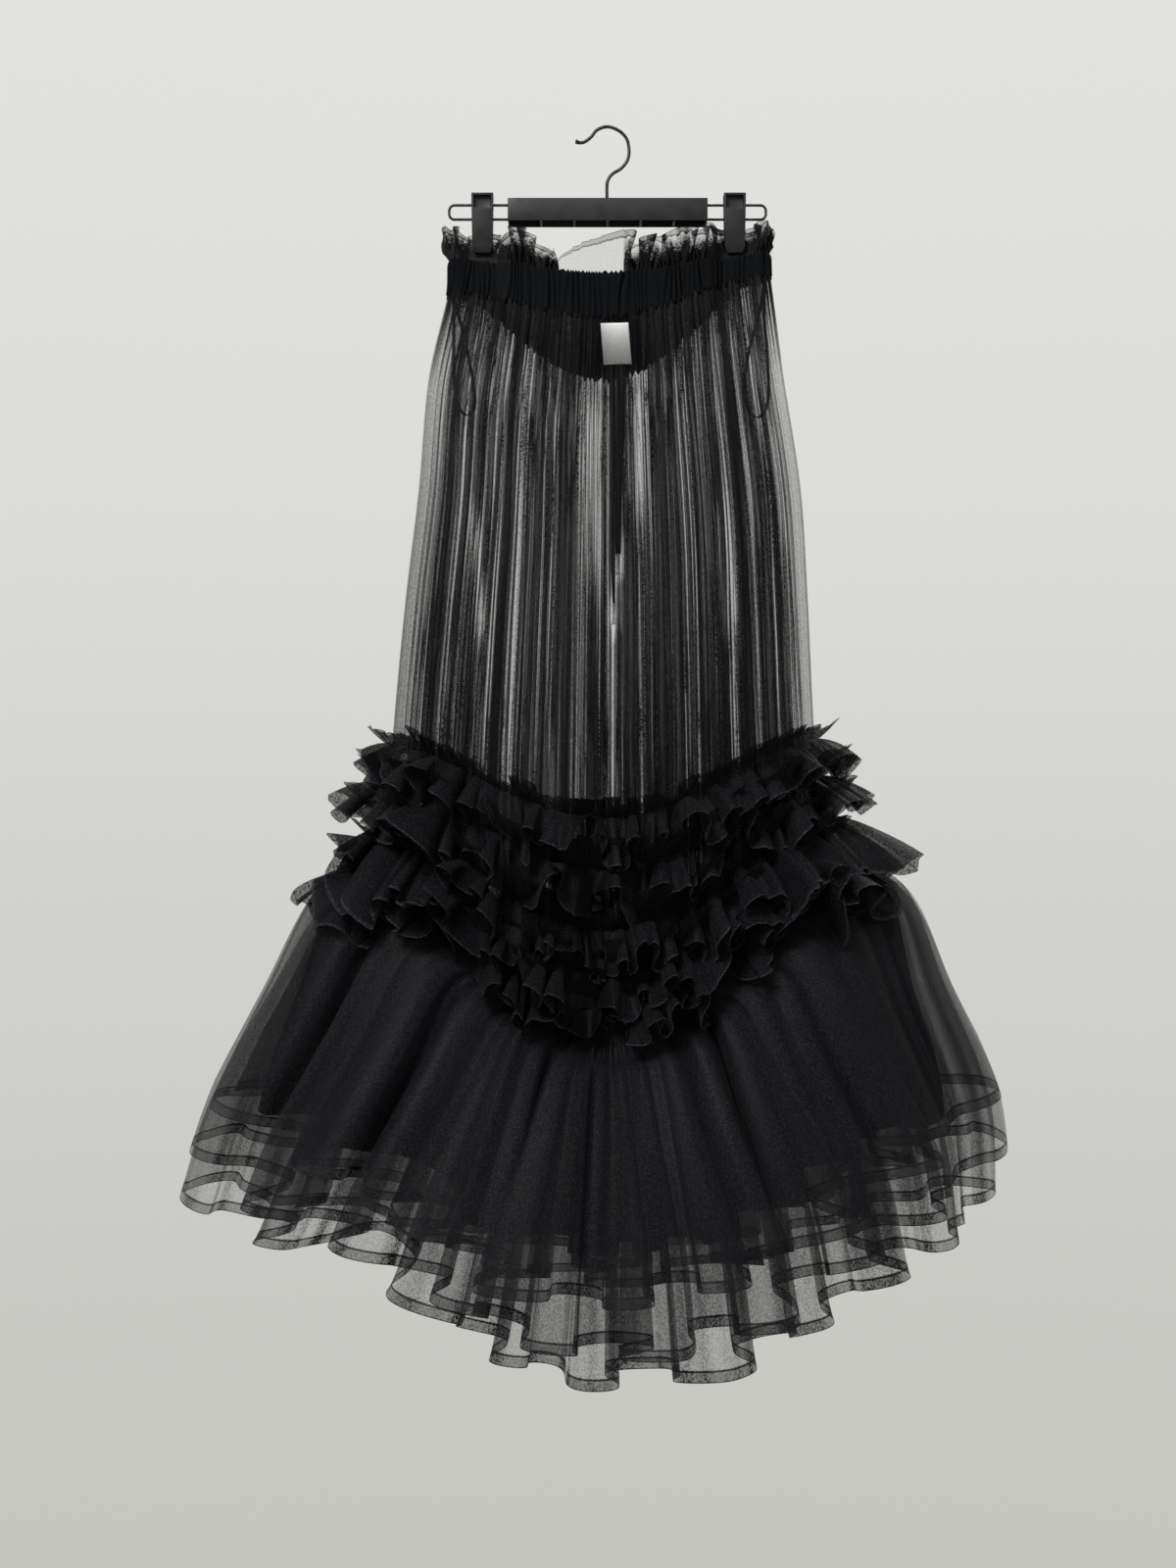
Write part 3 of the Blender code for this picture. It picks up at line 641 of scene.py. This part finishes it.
# Folded hem: a doubled band at the free edge, with a stitch line at its top and a crease at its fold.
HEM_DEPTH = 0.0095
FRILL_HEM = 0.006
folded_hem, hem_in, hem_out = new_group("folded hem", ("Up", "Cover", "Depth"), ("Cover",))
past_hem = maths(folded_hem, "SUBTRACT", hem_in["Up"], hem_in["Depth"])
in_hem = maths(folded_hem, "LESS_THAN", past_hem, 0.0)
at_stitch = ramp(folded_hem, maths(folded_hem, "ABSOLUTE", past_hem), 0.0004, 0.0013, 0.45, 0.0)
at_edge = ramp(folded_hem, hem_in["Up"], 0.0003, 0.0012, 0.35, 0.0)
doubled = maths(folded_hem, "ADD", hem_in["Cover"], maths(folded_hem, "MULTIPLY", in_hem, 0.27))
with_stitch = maths(folded_hem, "ADD", doubled, at_stitch)
capped = put(folded_hem, "ShaderNodeMath", [(0, with_stitch), (1, at_edge)], operation="ADD", use_clamp=True)
folded_hem.links.new(capped.outputs[0], hem_out["Cover"])


def sheer(name, colour, hem=None, least=0.0, specular=0.2, edge_highlight=0.0, deep_fold_shade=1.0):
    """Sheer net: see-through by its own cover values, with grain and, where hem is given, a folded hem.

    No part of it lets more through than least allows. It can be given a painted highlight along its free
    edge, where light would catch the fold, and painted shade where its cover is near 1 and above, as in
    deep folds.
    """
    made, tree, shader = new_material(name, colour, 0.6, sheen=0.01, specular=specular)
    layers = put(tree, "ShaderNodeAttribute", attribute_name="cover").outputs["Fac"]
    fine = put(tree, "ShaderNodeGroup", [("Place", place_of(tree)), ("Cover", layers)], node_tree=net_grain)
    stops = fine.outputs["Cover"]
    if hem is not None:
        ends = [("Up", cloth_uv(tree)[1]), ("Cover", stops), ("Depth", hem)]
        stops = put(tree, "ShaderNodeGroup", ends, node_tree=folded_hem).outputs["Cover"]
    held = put(tree, "ShaderNodeMath", [(0, stops), (1, least)], operation="MAXIMUM", use_clamp=True)
    tree.links.new(held.outputs[0], shader.inputs["Alpha"])
    shade = fine.outputs["Shade"]
    # Painted highlight: the colour near the free edge is lightened, as if light caught the fold there.
    if edge_highlight:
        edge = ramp(tree, cloth_uv(tree)[1], 0.0008, 0.0022, 1.0 + edge_highlight, 1.0)
        shade = maths(tree, "MULTIPLY", shade, edge)
    # Painted shade: where the cover is near 1 and above, as in deep folds and hollows, the colour is
    # darkened.
    if deep_fold_shade < 1.0:
        shade = maths(tree, "MULTIPLY", shade, ramp(tree, layers, 0.9, 1.4, 1.0, deep_fold_shade))
    tree.links.new(shaded(tree, colour, shade), shader.inputs["Base Color"])
    return made


# The arch: a stretch at the front of the heading that stands clear of gathers, with a dip to its left.
ARCH_START = -0.046
ARCH_END = 0.0150
DIP_AT = -0.056
DIP_WIDTH = 0.016
FRILL_RUN = 1.10
FRILL_SINK = 0.0030


def frill_points(columns, rows):
    """Rows from the folded top edge down to the casing."""
    turn = np.arange(columns) / columns
    made = []
    for step in range(rows):
        part = 1.0 - step / (rows - 1)
        loops = TURN * FRILL_LOOPS * turn + 1.6 * wander(turn, part, 11, 2, 14)
        plain = body(0.0, angle_at(turn))
        near = plain[:, 1] < 0
        arch = near * np.clip((plain[:, 0] - ARCH_START) / (ARCH_END - ARCH_START), 0.0, 1.0)
        in_arch = (arch > 0) & (arch < 1)
        calm = np.where(in_arch, 0.2, 1.0)
        size = 0.0095 * (0.75 + 0.35 * wander(turn, part, 12, 3, 16)) * calm
        sway = 1.5 * calm / (TURN * FRILL_LOOPS) * np.sin(2.0 * loops) * part
        angle = angle_at(turn - sway)
        press = clip_press(body(0.0, angle)[..., 0])
        pressed = body(0.0, angle, 0.88 + 0.12 * min(1.0, part * 8.0))
        ends = ((np.abs(np.cos(angle)) - 0.85) / 0.15).clip(0.0, 1.0)
        out = (size * np.sin(loops) * (1.0 - 0.4 * ends) + 0.003) * part ** 0.8 * (1.0 - press)
        tall = FRILL_HEIGHT * (0.86 + 0.13 * wander(turn, 0.0, 13, 6, 30)) - 0.003 * press
        tall = np.where(in_arch, FRILL_HEIGHT * (0.25 + 0.85 * arch ** 0.5), tall)
        dip = near * np.exp(-((plain[:, 0] - DIP_AT) / DIP_WIDTH) ** 2)
        tall = tall * (1.0 - 0.45 * dip)
        tall = tall - 0.004 * np.maximum(0.0, np.abs(pressed[..., 0]) - 0.10) / 0.05
        crumple = 0.0048 * calm * (1.0 - press) * wander(turn, 4.0 * part, 14, 60, 170)
        crumple = crumple * (1.0 - part) ** 0.5 * min(1.0, 8.0 * part)
        points = pressed + outward(0.0, angle) * (out + crumple)[:, None]
        points[:, 2] += tall * part + 0.6 * crumple - (0.0 if part > 0.0 else FRILL_SINK)
        bunch = wander(turn, part, 15, 30, 150, drift=2.0)
        dense_foot = 1.15 * math.exp(-((part / 0.62) ** 4))
        folds = 0.30 + dense_foot + 0.26 * bunch + 0.06 * np.abs(wander(turn, part, 16, 80, 220, drift=6.0))
        cover = np.where(in_arch, 0.13, folds).clip(0.12, 1.45)
        made.append((points, turn * FRILL_RUN, FRILL_HEIGHT * (1.0 - part), cover))
    return grids(made)


frill_net = sheer("frill net", (0.0032, 0.0032, 0.0038), hem=FRILL_HEM, specular=0.05)
frill = cloth_piece("frill_heading", *frill_points(columns=900, rows=14))
hang(frill, frill_net, "frill_net", ["waist_frill"])

# Casing: opaque cloth folded over elastic and sewn at both edges, so that it wrinkles upright.
# The lower seam allowance crinkles below the stitching.
CASING_WRINKLES = 118
CASING_RUN = 0.90
CASING_DEPTH = 0.047
CASING_HALF = 0.0012


def casing_points(columns, rows, out_by):
    """Rows of one face of the casing, from its upper seam to its lower one."""
    turn = np.arange(columns) / columns
    made = []
    for step in range(rows):
        part = step / (rows - 1)
        angle = angle_at(turn)
        wrinkle = TURN * CASING_WRINKLES * turn + 3.2 * wander(turn, part, 21, 8, 40, drift=3.0)
        size = 0.0016 * (0.8 + 0.6 * wander(turn, part, 22, 10, 50))
        points = body(part, angle)
        bulge = 0.0012 * math.sin(math.pi * part)
        out = out_by + bulge + size * np.sin(wrinkle)
        points += outward(part, angle) * out[:, None]
        crinkle = 0.0010 * np.sin(1.7 * wrinkle) * (abs(part - 0.5) * 2.0) ** 6
        crinkle = crinkle + 0.0022 * wander(turn, 0.0, 23, 30, 190) * part ** 8
        points[:, 2] += crinkle
        made.append((points, turn * CASING_RUN, CASING_DEPTH * (1.0 - part), 1.0))
    return grids(made)


CASING_BLACK = (0.0014, 0.0017, 0.0022)
casing_cloth = woven("casing cloth", CASING_BLACK, roughness=0.85, pitch=0.0011, bump=0.0002, specular=0.04)
outside = casing_points(1180, 15, CASING_HALF)
inside = casing_points(1180, 15, -CASING_HALF)
casing_grid = [np.concatenate((a, b[::-1])) for a, b in zip(outside, inside)]
casing = cloth_piece("elastic_casing", *casing_grid)
hang(casing, casing_cloth, "casing_cloth", ["waistband"])

# Label: a strip of pale woven tape, its cut ends folded under, with nothing woven or printed on it.
# It is sewn inside the back of the casing and shows through the net in front of it.
LABEL_WIDTH = 0.027
LABEL_MIDDLE = 0.0085
LABEL_TOP = -0.1780
LABEL_BOTTOM = -0.2180
LABEL_LENGTH = 0.040
LABEL_THICKNESS = 0.0006
LABEL_LEAN = 0.003
LABEL_DEPTH = 0.0325


def label_points(columns, rows):
    """Rows from the label's upper edge down to its lower one."""
    made = []
    for step in range(rows):
        part = step / (rows - 1)
        share = np.linspace(-0.5, 0.5, columns)
        x = LABEL_MIDDLE + LABEL_LEAN * (part - 0.5) + LABEL_WIDTH * share
        y = LABEL_DEPTH - 0.0012 * np.cos(math.pi * share) * part - 0.0004
        z = LABEL_TOP + (LABEL_BOTTOM - LABEL_TOP) * part + 0.0007 * share
        points = np.stack((x, y, z), axis=-1)
        made.append((points, share * LABEL_WIDTH, (1.0 - part) * LABEL_LENGTH, 1.0))
    return grids(made)


LABEL_WHITE = (0.74, 0.74, 0.72)
label_tape = woven("label tape", LABEL_WHITE, roughness=0.7, pitch=0.0006, bump=0.00005, mottle=0.12)
label = cloth_piece("bare_label", *label_points(columns=17, rows=25), span=(0, 16))
thick = label.modifiers.new("thickness", "SOLIDIFY")
thick.thickness = LABEL_THICKNESS
thick.offset = 0.0
dress(label, label_tape, "label_tape", "label")

# Net panels: one front and one back of fine black net, gathered hard into the casing above
# and eased into the flounce seam below, so that they hang in narrow folds that lap over each other.
NET_FOLDS = 128
NET_LAP = 2.5
NET_HEIGHT = 0.66
NET_WIDTH = 1.30
# Slits: the places across of their top and foot, the heights of these, the width, and how clear they are.
SLITS = (
    (-0.127, -0.119, -0.365, -0.490, 0.0030, 0.75),
    (0.005, 0.004, -0.430, -0.640, 0.0018, 0.60),
    (0.108, 0.118, -0.355, -0.480, 0.0032, 0.75),
    (0.131, 0.140, -0.290, -0.400, 0.0024, 0.60),
    (0.153, 0.166, -0.285, -0.400, 0.0030, 0.45),
    (-0.014, -0.013, -0.242, -0.440, 0.0085, 0.42),
    (0.029, 0.031, -0.245, -0.370, 0.0060, 0.45),
    (0.0105, 0.0105, -0.396, -0.430, 0.0040, 0.70),
    (0.0060, 0.0060, -0.442, -0.480, 0.0040, 0.70),
    (0.009, 0.009, -0.178, -0.236, 0.0230, 0.92),
)


def near_slit(points):
    """Where the folds part and leave a clear upright slit: its strength in its middle, 0 outside."""
    total = np.zeros(len(points))
    for top_x, foot_x, top, foot, width, clear in SLITS:
        share = (top - points[:, 2]) / (top - foot)
        middle = top_x + (foot_x - top_x) * share
        tall = np.clip(np.minimum(share + 0.15, 1.15 - share) / 0.3, 0.0, 1.0)
        total += clear * tall * np.exp(-(((points[:, 0] - middle) / width) ** 2))
    return total.clip(0.0, 1.0)


def net_points(columns, rows):
    """Rows from the casing's lower seam down to the flounce seam."""
    turn = np.arange(columns) / columns
    made = []
    for step in range(rows):
        part = step / (rows - 1)
        row = 1.0 + 5.0 * part
        plain_angle = angle_at(turn)
        slit = near_slit(body(row, plain_angle))
        edge = ((np.abs(np.cos(plain_angle)) - 0.86) / 0.10).clip(0.0, 1.0) * min(1.0, part * 5.0)
        fold = TURN * NET_FOLDS * turn + 2.0 * wander(turn, part, 31, 4, 46, drift=1.6)
        lap = NET_LAP * (0.85 + 0.35 * wander(turn, part, 32, 20, 90)) * (1.0 - 0.9 * edge) * (1.0 - slit)
        bunch = 0.0013 * wander(turn, part, 33, 24, 96, drift=2.4) * (1.0 - 0.7 * edge)
        lapped = turn - lap / (TURN * NET_FOLDS) * np.sin(2.0 * fold) + bunch
        angle = angle_at(lapped)
        swell = min(1.0, part * 4.0 + 0.25) * (1.0 if part < 0.75 else 1.0 - 0.6 * (part - 0.75) / 0.25)
        size = 0.0032 * swell * (0.8 + 0.3 * wander(turn, part, 34, 5, 30)) * (1.0 - 0.8 * edge)
        points = body(row, angle) + outward(row, angle) * (size * np.sin(fold))[:, None]
        points[:, 2] += 0.0030 if step == 0 else 0.0
        down = part + 0.10 * math.sin(7.0 * part)
        lines = np.exp(-((wander(turn, down, 35, 50, 190, drift=11.0) / 0.15) ** 2)) * (1.0 - 0.9 * edge)
        hair = wander(turn, down, 37, 120, 420, drift=9.0) * (1.0 - 0.7 * edge)
        broad = 0.5 + 0.5 * np.tanh(1.3 * wander(turn, down, 36, 8, 50, drift=3.0))
        thin = 1.0 - np.where(np.cos(plain_angle) > 0, 0.40, 0.06) * edge
        right_half = 0.5 + 0.5 * np.tanh(6.0 * np.cos(plain_angle))
        tight = 0.22 * math.exp(-((part / 0.06) ** 2))
        stops = 0.26 + 0.05 * broad + 0.74 * lines + 0.17 * hair + 0.20 * part + tight + 0.05 * right_half
        stops = stops * thin + 0.4 * max(0.0, part - 0.80) / 0.2
        cover = (stops * (1.0 - slit)).clip(0.05, 0.9)
        made.append((points, turn * (2 * NET_WIDTH), NET_HEIGHT * (1.0 - part), cover))
    return grids(made)


panel_net = sheer("panel net", (0.0030, 0.0029, 0.0035), specular=0.04)
net_grid = net_points(columns=2048, rows=42)
for place, span in (("back", (0, 1024)), ("front", (1024, 2048))):
    panel = cloth_piece("net_panel_" + place, *net_grid, span=span)
    hang(panel, panel_net, "panel_net", ["net_" + place])

# Ruffles: strips of double tulle, folded along both edges and gathered along a line of stitches
# a third of the way down, so that each throws a short frill up and a long one down.
# Each has its node, its level on the body, its reach at the left, the right and the front, its droop at
# the sides and the front, the rise of its upper edge, and the length and depth it was cut to.
RUFFLES = (
    ("ruffle_1", 5.04, 0.036, 0.034, 0.034, 0.028, 0.036, 0.015, 2.20, 0.075),
    ("ruffle_2", 5.27, 0.048, 0.046, 0.038, 0.034, 0.038, 0.025, 2.20, 0.075),
    ("ruffle_3", 5.50, 0.086, 0.088, 0.042, 0.072, 0.036, 0.027, 2.40, 0.085),
    ("ruffle_4", 5.68, 0.100, 0.084, 0.048, 0.040, 0.030, 0.027, 2.40, 0.085),
    ("ruffle_5", 5.83, 0.068, 0.068, 0.052, 0.044, 0.024, 0.025, 2.40, 0.085),
)
RUFFLE_FOLDS = 40
RUFFLE_RUN = 2.2
RUFFLE_ABOVE = 0.025
RUFFLE_BELOW = 0.050
# The dark hollow just left of the middle of the front, where the ruffles lie flat. Its darkness is partly
# # painted shade: the ruffles' cover is raised there.
RECESS_AT = -0.075
RECESS_WIDTH = 0.095
# Rows from the upper edge at -1 over the stitches at 0 to the lower edge at 1.
RUFFLE_ROWS = (-1.0, -0.85, -0.65, -0.45, -0.25, -0.1, 0.0, 0.1, 0.22, 0.36, 0.5, 0.64, 0.78, 0.9, 1.0)


def crisp(phase):
    """A wave with flat sides and tight turns, as stiff cloth folds."""
    return np.arcsin(0.93 * np.sin(phase)) / 1.2


def ruffle_points(seat, left_reach, right_reach, front_reach, side_droop, front_droop, rise, seed):
    """Rows of one ruffle, all the way round the body at the level of its seat."""
    columns = RUFFLE_FOLDS * 24
    turn = np.arange(columns) / columns
    made = []
    for part in RUFFLE_ROWS:
        size = abs(part)
        fold = TURN * RUFFLE_FOLDS * turn + 2.2 * wander(turn, part, seed, 3, 26, drift=0.5)
        sweep = 1.6 * (0.75 + 0.35 * wander(turn, part, seed + 1, 4, 24, drift=0.4))
        lapped = turn - sweep * size / (TURN * RUFFLE_FOLDS) * np.sin(2.0 * fold)
        lapped += 0.0045 * size * wander(turn, part, seed + 2, 8, 30, drift=0.6)
        angle = angle_at(lapped)
        away = outward(seat, angle)
        side = np.abs(np.cos(angle)) ** 3
        uneven = 1.0 + 0.24 * wander(turn, 0.0, seed + 3, 5, 30)
        side_reach = np.where(np.cos(angle) > 0, right_reach, left_reach)
        reach = (front_reach + (side_reach - front_reach) * side) * uneven
        droop = (front_droop + (side_droop - front_droop) * side) * uneven
        if part < 0.0:
            reach, droop = rise * 1.1 * uneven, -rise * uneven
        tilt = (0.62 if part > 0.0 else 0.10) * wander(turn, part, seed + 4, 4, 22, drift=0.5)
        out = size * (reach * np.cos(tilt) - np.sin(tilt) * droop * 0.5)
        drop = size ** 1.3 * (droop * np.cos(tilt)) + size * np.sin(tilt) * reach * 0.5
        height = (0.85 + 0.3 * wander(turn, part, seed + 5, 5, 28)).clip(0.5, 1.15)
        wave = crisp(fold) * (0.0015 + 0.0190 * size ** 0.8) * height
        wave = wave * (0.20 + 9.0 * rise if part < 0.0 else 1.0)
        wave = wave + 0.0016 * size * wander(turn, part, seed + 6, 60, 170, drift=1.5)
        recess_and_shade = np.exp(-(((np.cos(angle) - RECESS_AT) / RECESS_WIDTH) ** 2)) * (np.sin(angle) < 0)
        out, wave = out * (1.0 - 0.75 * recess_and_shade), wave * (1.0 - 0.75 * recess_and_shade)
        steep = np.hypot(reach, droop)
        points = body(seat, angle) + away * (0.0018 + out + wave * np.abs(droop) / steep)[:, None]
        points[:, 2] += -drop + wave * reach / steep * 0.8
        up = RUFFLE_BELOW + RUFFLE_ABOVE * size if part < 0 else RUFFLE_BELOW * (1.0 - size)
        # The cover rises in the recess; past 1 it gives painted shade there through the ruffle tulle.
        made.append((points, turn * RUFFLE_RUN, up, 0.78 + 0.70 * recess_and_shade))
    return grids(made)


RUFFLE_BLACK = (0.0027, 0.0026, 0.0033)
# The ruffle tulle has a painted highlight along its free edges and painted shade where its cover rises in
# the recess.
ruffle_tulle = sheer("ruffle tulle", RUFFLE_BLACK, least=0.70, specular=0.03, edge_highlight=2.6, deep_fold_shade=0.15)
for number, (node, *sizes, length, depth) in enumerate(RUFFLES):
    tier = cloth_piece("gathered_" + node, *ruffle_points(*sizes, seed=100 + 17 * number))
    hang(tier, ruffle_tulle, "ruffle_tulle", [node])

# Flounce: three wide strips of sheer tulle, gathered into one seam, each longer than the one over it,
# with folded and stitched hems, over a shorter one of dense tulle. Their folds double back at the hems.
# Each has its node, its steps out from the innermost, the body's level that its hem reaches at the sides
# and at the middle, the depth of its deepest fold, and the width and depth it was cut to.
FLOUNCES = (
    ("flounce_outer", 3, 8.92, 9.30, 0.034, 3.0, 0.22),
    ("flounce_middle", 2, 9.42, 9.66, 0.038, 3.4, 0.26),
    ("flounce_inner", 1, 10.0, 10.0, 0.040, 3.6, 0.29),
    ("flounce_lining", -10, 9.10, 8.98, 0.034, 2.5, 0.22),
)
FLOUNCE_STEP = 0.0040
FLOUNCE_ROWS = 34
FLOUNCE_COLUMNS = 1410
FLOUNCE_RUN = 3.2
SEAM_LEVEL = 6.0
HEM_LEVEL = 10.0
VALLEY_LEVEL = 9
FOLD_DEPTH = 0.36
FOLD_SWING = 0.95
HEM_ROUND = 1.75
FAN = 0.45
SPRING = 0.050
SEAM_GATHERS = 72
# Where the folds of each layer meet across the front, in metres from the middle at the valleys' level.
FOLD_VALLEYS = {
    "flounce_outer": (-0.275, -0.205, -0.112, -0.030, 0.052, 0.128, 0.212, 0.290),
    "flounce_middle": (-0.310, -0.235, -0.158, -0.084, -0.004, 0.084, 0.172, 0.236, 0.296),
    "flounce_inner": (-0.200, -0.104, -0.048, 0.024, 0.142, 0.200, 0.256, 0.316),
    "flounce_lining": (-0.310, -0.170, -0.055, 0.016, 0.070, 0.140, 0.204, 0.268),
}
BACK_FOLDS = 8
# How much higher the longest hem hangs than an even curve would, by its place across the front.
HEM_RISE = (
    (-0.350, 0.000), (-0.310, 0.011), (-0.272, 0.029), (-0.235, 0.049), (-0.200, 0.070),
    (-0.177, 0.064), (-0.155, 0.047), (-0.095, 0.020), (-0.030, 0.002), (0.120, 0.000),
    (0.170, 0.013), (0.245, 0.025), (0.300, 0.007), (0.344, 0.000),
)


def fold_phase(node, turn):
    """How far the main folds have turned, a whole turn from valley to valley, and each fold's width."""
    places = np.array(FOLD_VALLEYS[node])
    width = np.where(places > 0, STATIONS["right"][VALLEY_LEVEL], STATIONS["left"][VALLEY_LEVEL])
    angle = TURN - np.arccos(places / width)
    valleys = list(np.interp(angle, fine_angle, fine_turn))
    gap = (valleys[0] + 1.0 - valleys[-1]) / BACK_FOLDS
    dice = np.random.RandomState(len(node))
    back = [valleys[-1] - 1.0 + gap * (k + dice.uniform(-0.2, 0.2) * (k > 0)) for k in range(BACK_FOLDS)]
    valleys = back + valleys
    count = len(valleys)
    spots = np.array([valleys[k % count] + k // count - 1.0 for k in range(3 * count + 1)])
    phase = np.interp(turn, spots, TURN * np.arange(len(spots)))
    wide = np.interp(turn, (spots[:-1] + spots[1:]) / 2, np.diff(spots))
    return phase, wide


def flounce_points(node, steps, side_end, middle_end, most_fold, seed):
    """Rows of one layer, from the flounce seam down to its hem."""
    turn = np.arange(FLOUNCE_COLUMNS) / FLOUNCE_COLUMNS
    fold, wide = fold_phase(node, turn)
    own_angle = angle_at(turn)
    end = side_end + (middle_end - side_end) * np.sin(own_angle) ** 2
    end = end + 0.04 * wander(turn, 0.0, seed + 2, 3, 10)
    rise = np.interp(np.cos(own_angle) * STATIONS["right"][VALLEY_LEVEL], *np.transpose(HEM_RISE))
    rise = rise * np.where(np.sin(own_angle) < 0, 1.0, 0.4) * (1.0 if node == "flounce_inner" else 0.45)
    swing = FOLD_SWING * (1.0 + 0.18 * wander(turn, 0.0, seed + 1, 3, 12))
    lean = 0.10 * wander(turn, 0.0, seed + 4, 3, 14)
    made = []
    for step in range(FLOUNCE_ROWS):
        part = step / (FLOUNCE_ROWS - 1)
        opened = min(1.0, 0.06 + 1.15 * part)
        main = fold + 0.30 * wander(turn, part, seed, 2, 9, drift=0.8)
        lapped = turn + swing * opened * wide / TURN * np.sin(2.0 * main)
        lapped = lapped - lean * opened * wide * np.cos(main)
        lapped = lapped + 0.05 * part * wide * wander(turn, part, seed + 5, 20, 60)
        angle = angle_at(lapped)
        fan = FAN * (1.0 - part) / 2.0
        angle = angle + fan * np.sin(2.0 * angle)
        row = SEAM_LEVEL + (np.minimum(end, HEM_LEVEL) - SEAM_LEVEL) * part
        size = np.minimum(most_fold, FOLD_DEPTH * wide * HEM_ROUND) * opened
        gather = 0.0028 * math.exp(-part / 0.30) * (1.0 - math.exp(-part / 0.03))
        gathers = TURN * SEAM_GATHERS * turn + wander(turn, part, seed + 7, 9, 50)
        out = -size * (np.cos(main) + 0.3) + gather * np.sin(gathers)
        out += steps * FLOUNCE_STEP * part + 0.0008 * max(steps, 0)
        points = body(row, angle) + outward(row, angle) * out[:, None]
        points[:, 2] = body(row, own_angle + fan * np.sin(2.0 * own_angle))[:, 2] + rise * part ** 2 - 0.0010
        points[:, 2] += SPRING * (1.0 - part) ** 2 * np.abs(np.cos(own_angle))
        fine = wander(turn, part, seed + 6, 40, 220, drift=1.0)
        heavy = 0.5 + 0.5 * np.tanh(1.6 * fine - 0.3)
        turned = np.exp(-(((1.0 + 2.0 * swing * opened * np.cos(2.0 * main)) / 0.30) ** 2))
        valley = (0.5 + 0.5 * np.cos(main)) ** 3
        cover = 0.38 + 0.26 * heavy + 0.20 * turned * part - 0.09 * np.cos(own_angle) ** 6
        # The lining's cover rises in its fold valleys; past 1 the dense tulle paints shade there.
        if node == "flounce_lining":
            cover = 0.97 + 0.35 * valley
        made.append((points, turn * FLOUNCE_RUN, 0.0, cover))
    grid, run, up, cover = grids(made)
    fall = np.linalg.norm(np.diff(grid, axis=0), axis=2)
    up[:-1] = np.cumsum(fall[::-1], axis=0)[::-1]
    return grid, run, up, cover


flounce_net = sheer("flounce net", (0.0040, 0.0038, 0.0050), hem=HEM_DEPTH, specular=0.07)
# The dense tulle gets painted shade in the lining's fold valleys, where its cover rises past 1.
dense = sheer("dense tulle", (0.0028, 0.0026, 0.0040), least=0.95, specular=0.02, deep_fold_shade=0.3)
for number, (node, *sizes, width, depth) in enumerate(FLOUNCES):
    layer = cloth_piece("tulle_" + node, *flounce_points(node, *sizes, seed=300 + 13 * number))
    nodes = [node + "_front", node + "_back"] if node == "flounce_inner" else [node]
    material, slot = (dense, "flounce_cloth") if node == "flounce_lining" else (flounce_net, "flounce_net")
    hang(layer, material, slot, nodes)

# Studio: a plain pale floor well below the hem and a pale surround, with soft lamps.
# The key lamp is high at the front on the left, a weak fill on the right, and a rim lamp behind.
FLOOR_Z = -2.4
FLOOR_RADIUS = 2.6
bpy.ops.object.select_all(action="DESELECT")
bpy.ops.mesh.primitive_circle_add(
    vertices=96, radius=FLOOR_RADIUS, fill_type="NGON", location=(0.0, 0.0, FLOOR_Z),
)
floor = bpy.context.object
floor.name = "studio_floor"
floor.data.materials.append(new_material("studio floor", (0.62, 0.62, 0.60), roughness=0.9)[0])

scene = bpy.context.scene
world = scene.world or bpy.data.worlds.new("studio")
scene.world = world
world.use_nodes = True
sky = world.node_tree
sky_up = put(sky, "ShaderNodeSeparateXYZ", [(0, sky.nodes.new("ShaderNodeTexCoord").outputs["Generated"])])
sky_share = ramp(sky, sky_up.outputs[2], -0.42, 0.40)
sky_tone = put(sky, "ShaderNodeMix", [("Factor", sky_share)], data_type="RGBA")
sky_tone.inputs["A"].default_value = (0.560, 0.560, 0.530, 1.0)
sky_tone.inputs["B"].default_value = (0.760, 0.760, 0.740, 1.0)
sky.links.new(sky_tone.outputs["Result"], sky.nodes["Background"].inputs["Color"])
sky.nodes["Background"].inputs["Strength"].default_value = 1.0


def soft_lamp(name, place, aim_z, size, power):
    lamp = bpy.data.objects.new(name, bpy.data.lights.new(name, "AREA"))
    bpy.context.collection.objects.link(lamp)
    lamp.data.shape = "DISK"
    lamp.data.size = size
    lamp.data.energy = power
    lamp.location = place
    lamp.rotation_euler = (Vector((0.0, 0.0, aim_z)) - Vector(place)).to_track_quat("-Z", "Y").to_euler()


soft_lamp("key", (-1.1, -1.9, 1.5), aim_z=-0.7, size=1.2, power=165.0)
soft_lamp("fill", (2.2, -1.8, 0.4), aim_z=-0.7, size=1.6, power=20.0)
soft_lamp("rim", (0.8, 2.2, 1.2), aim_z=-0.6, size=1.6, power=45.0)
scene.view_settings.view_transform = "Standard"
scene.cycles.transparent_max_bounces = 40
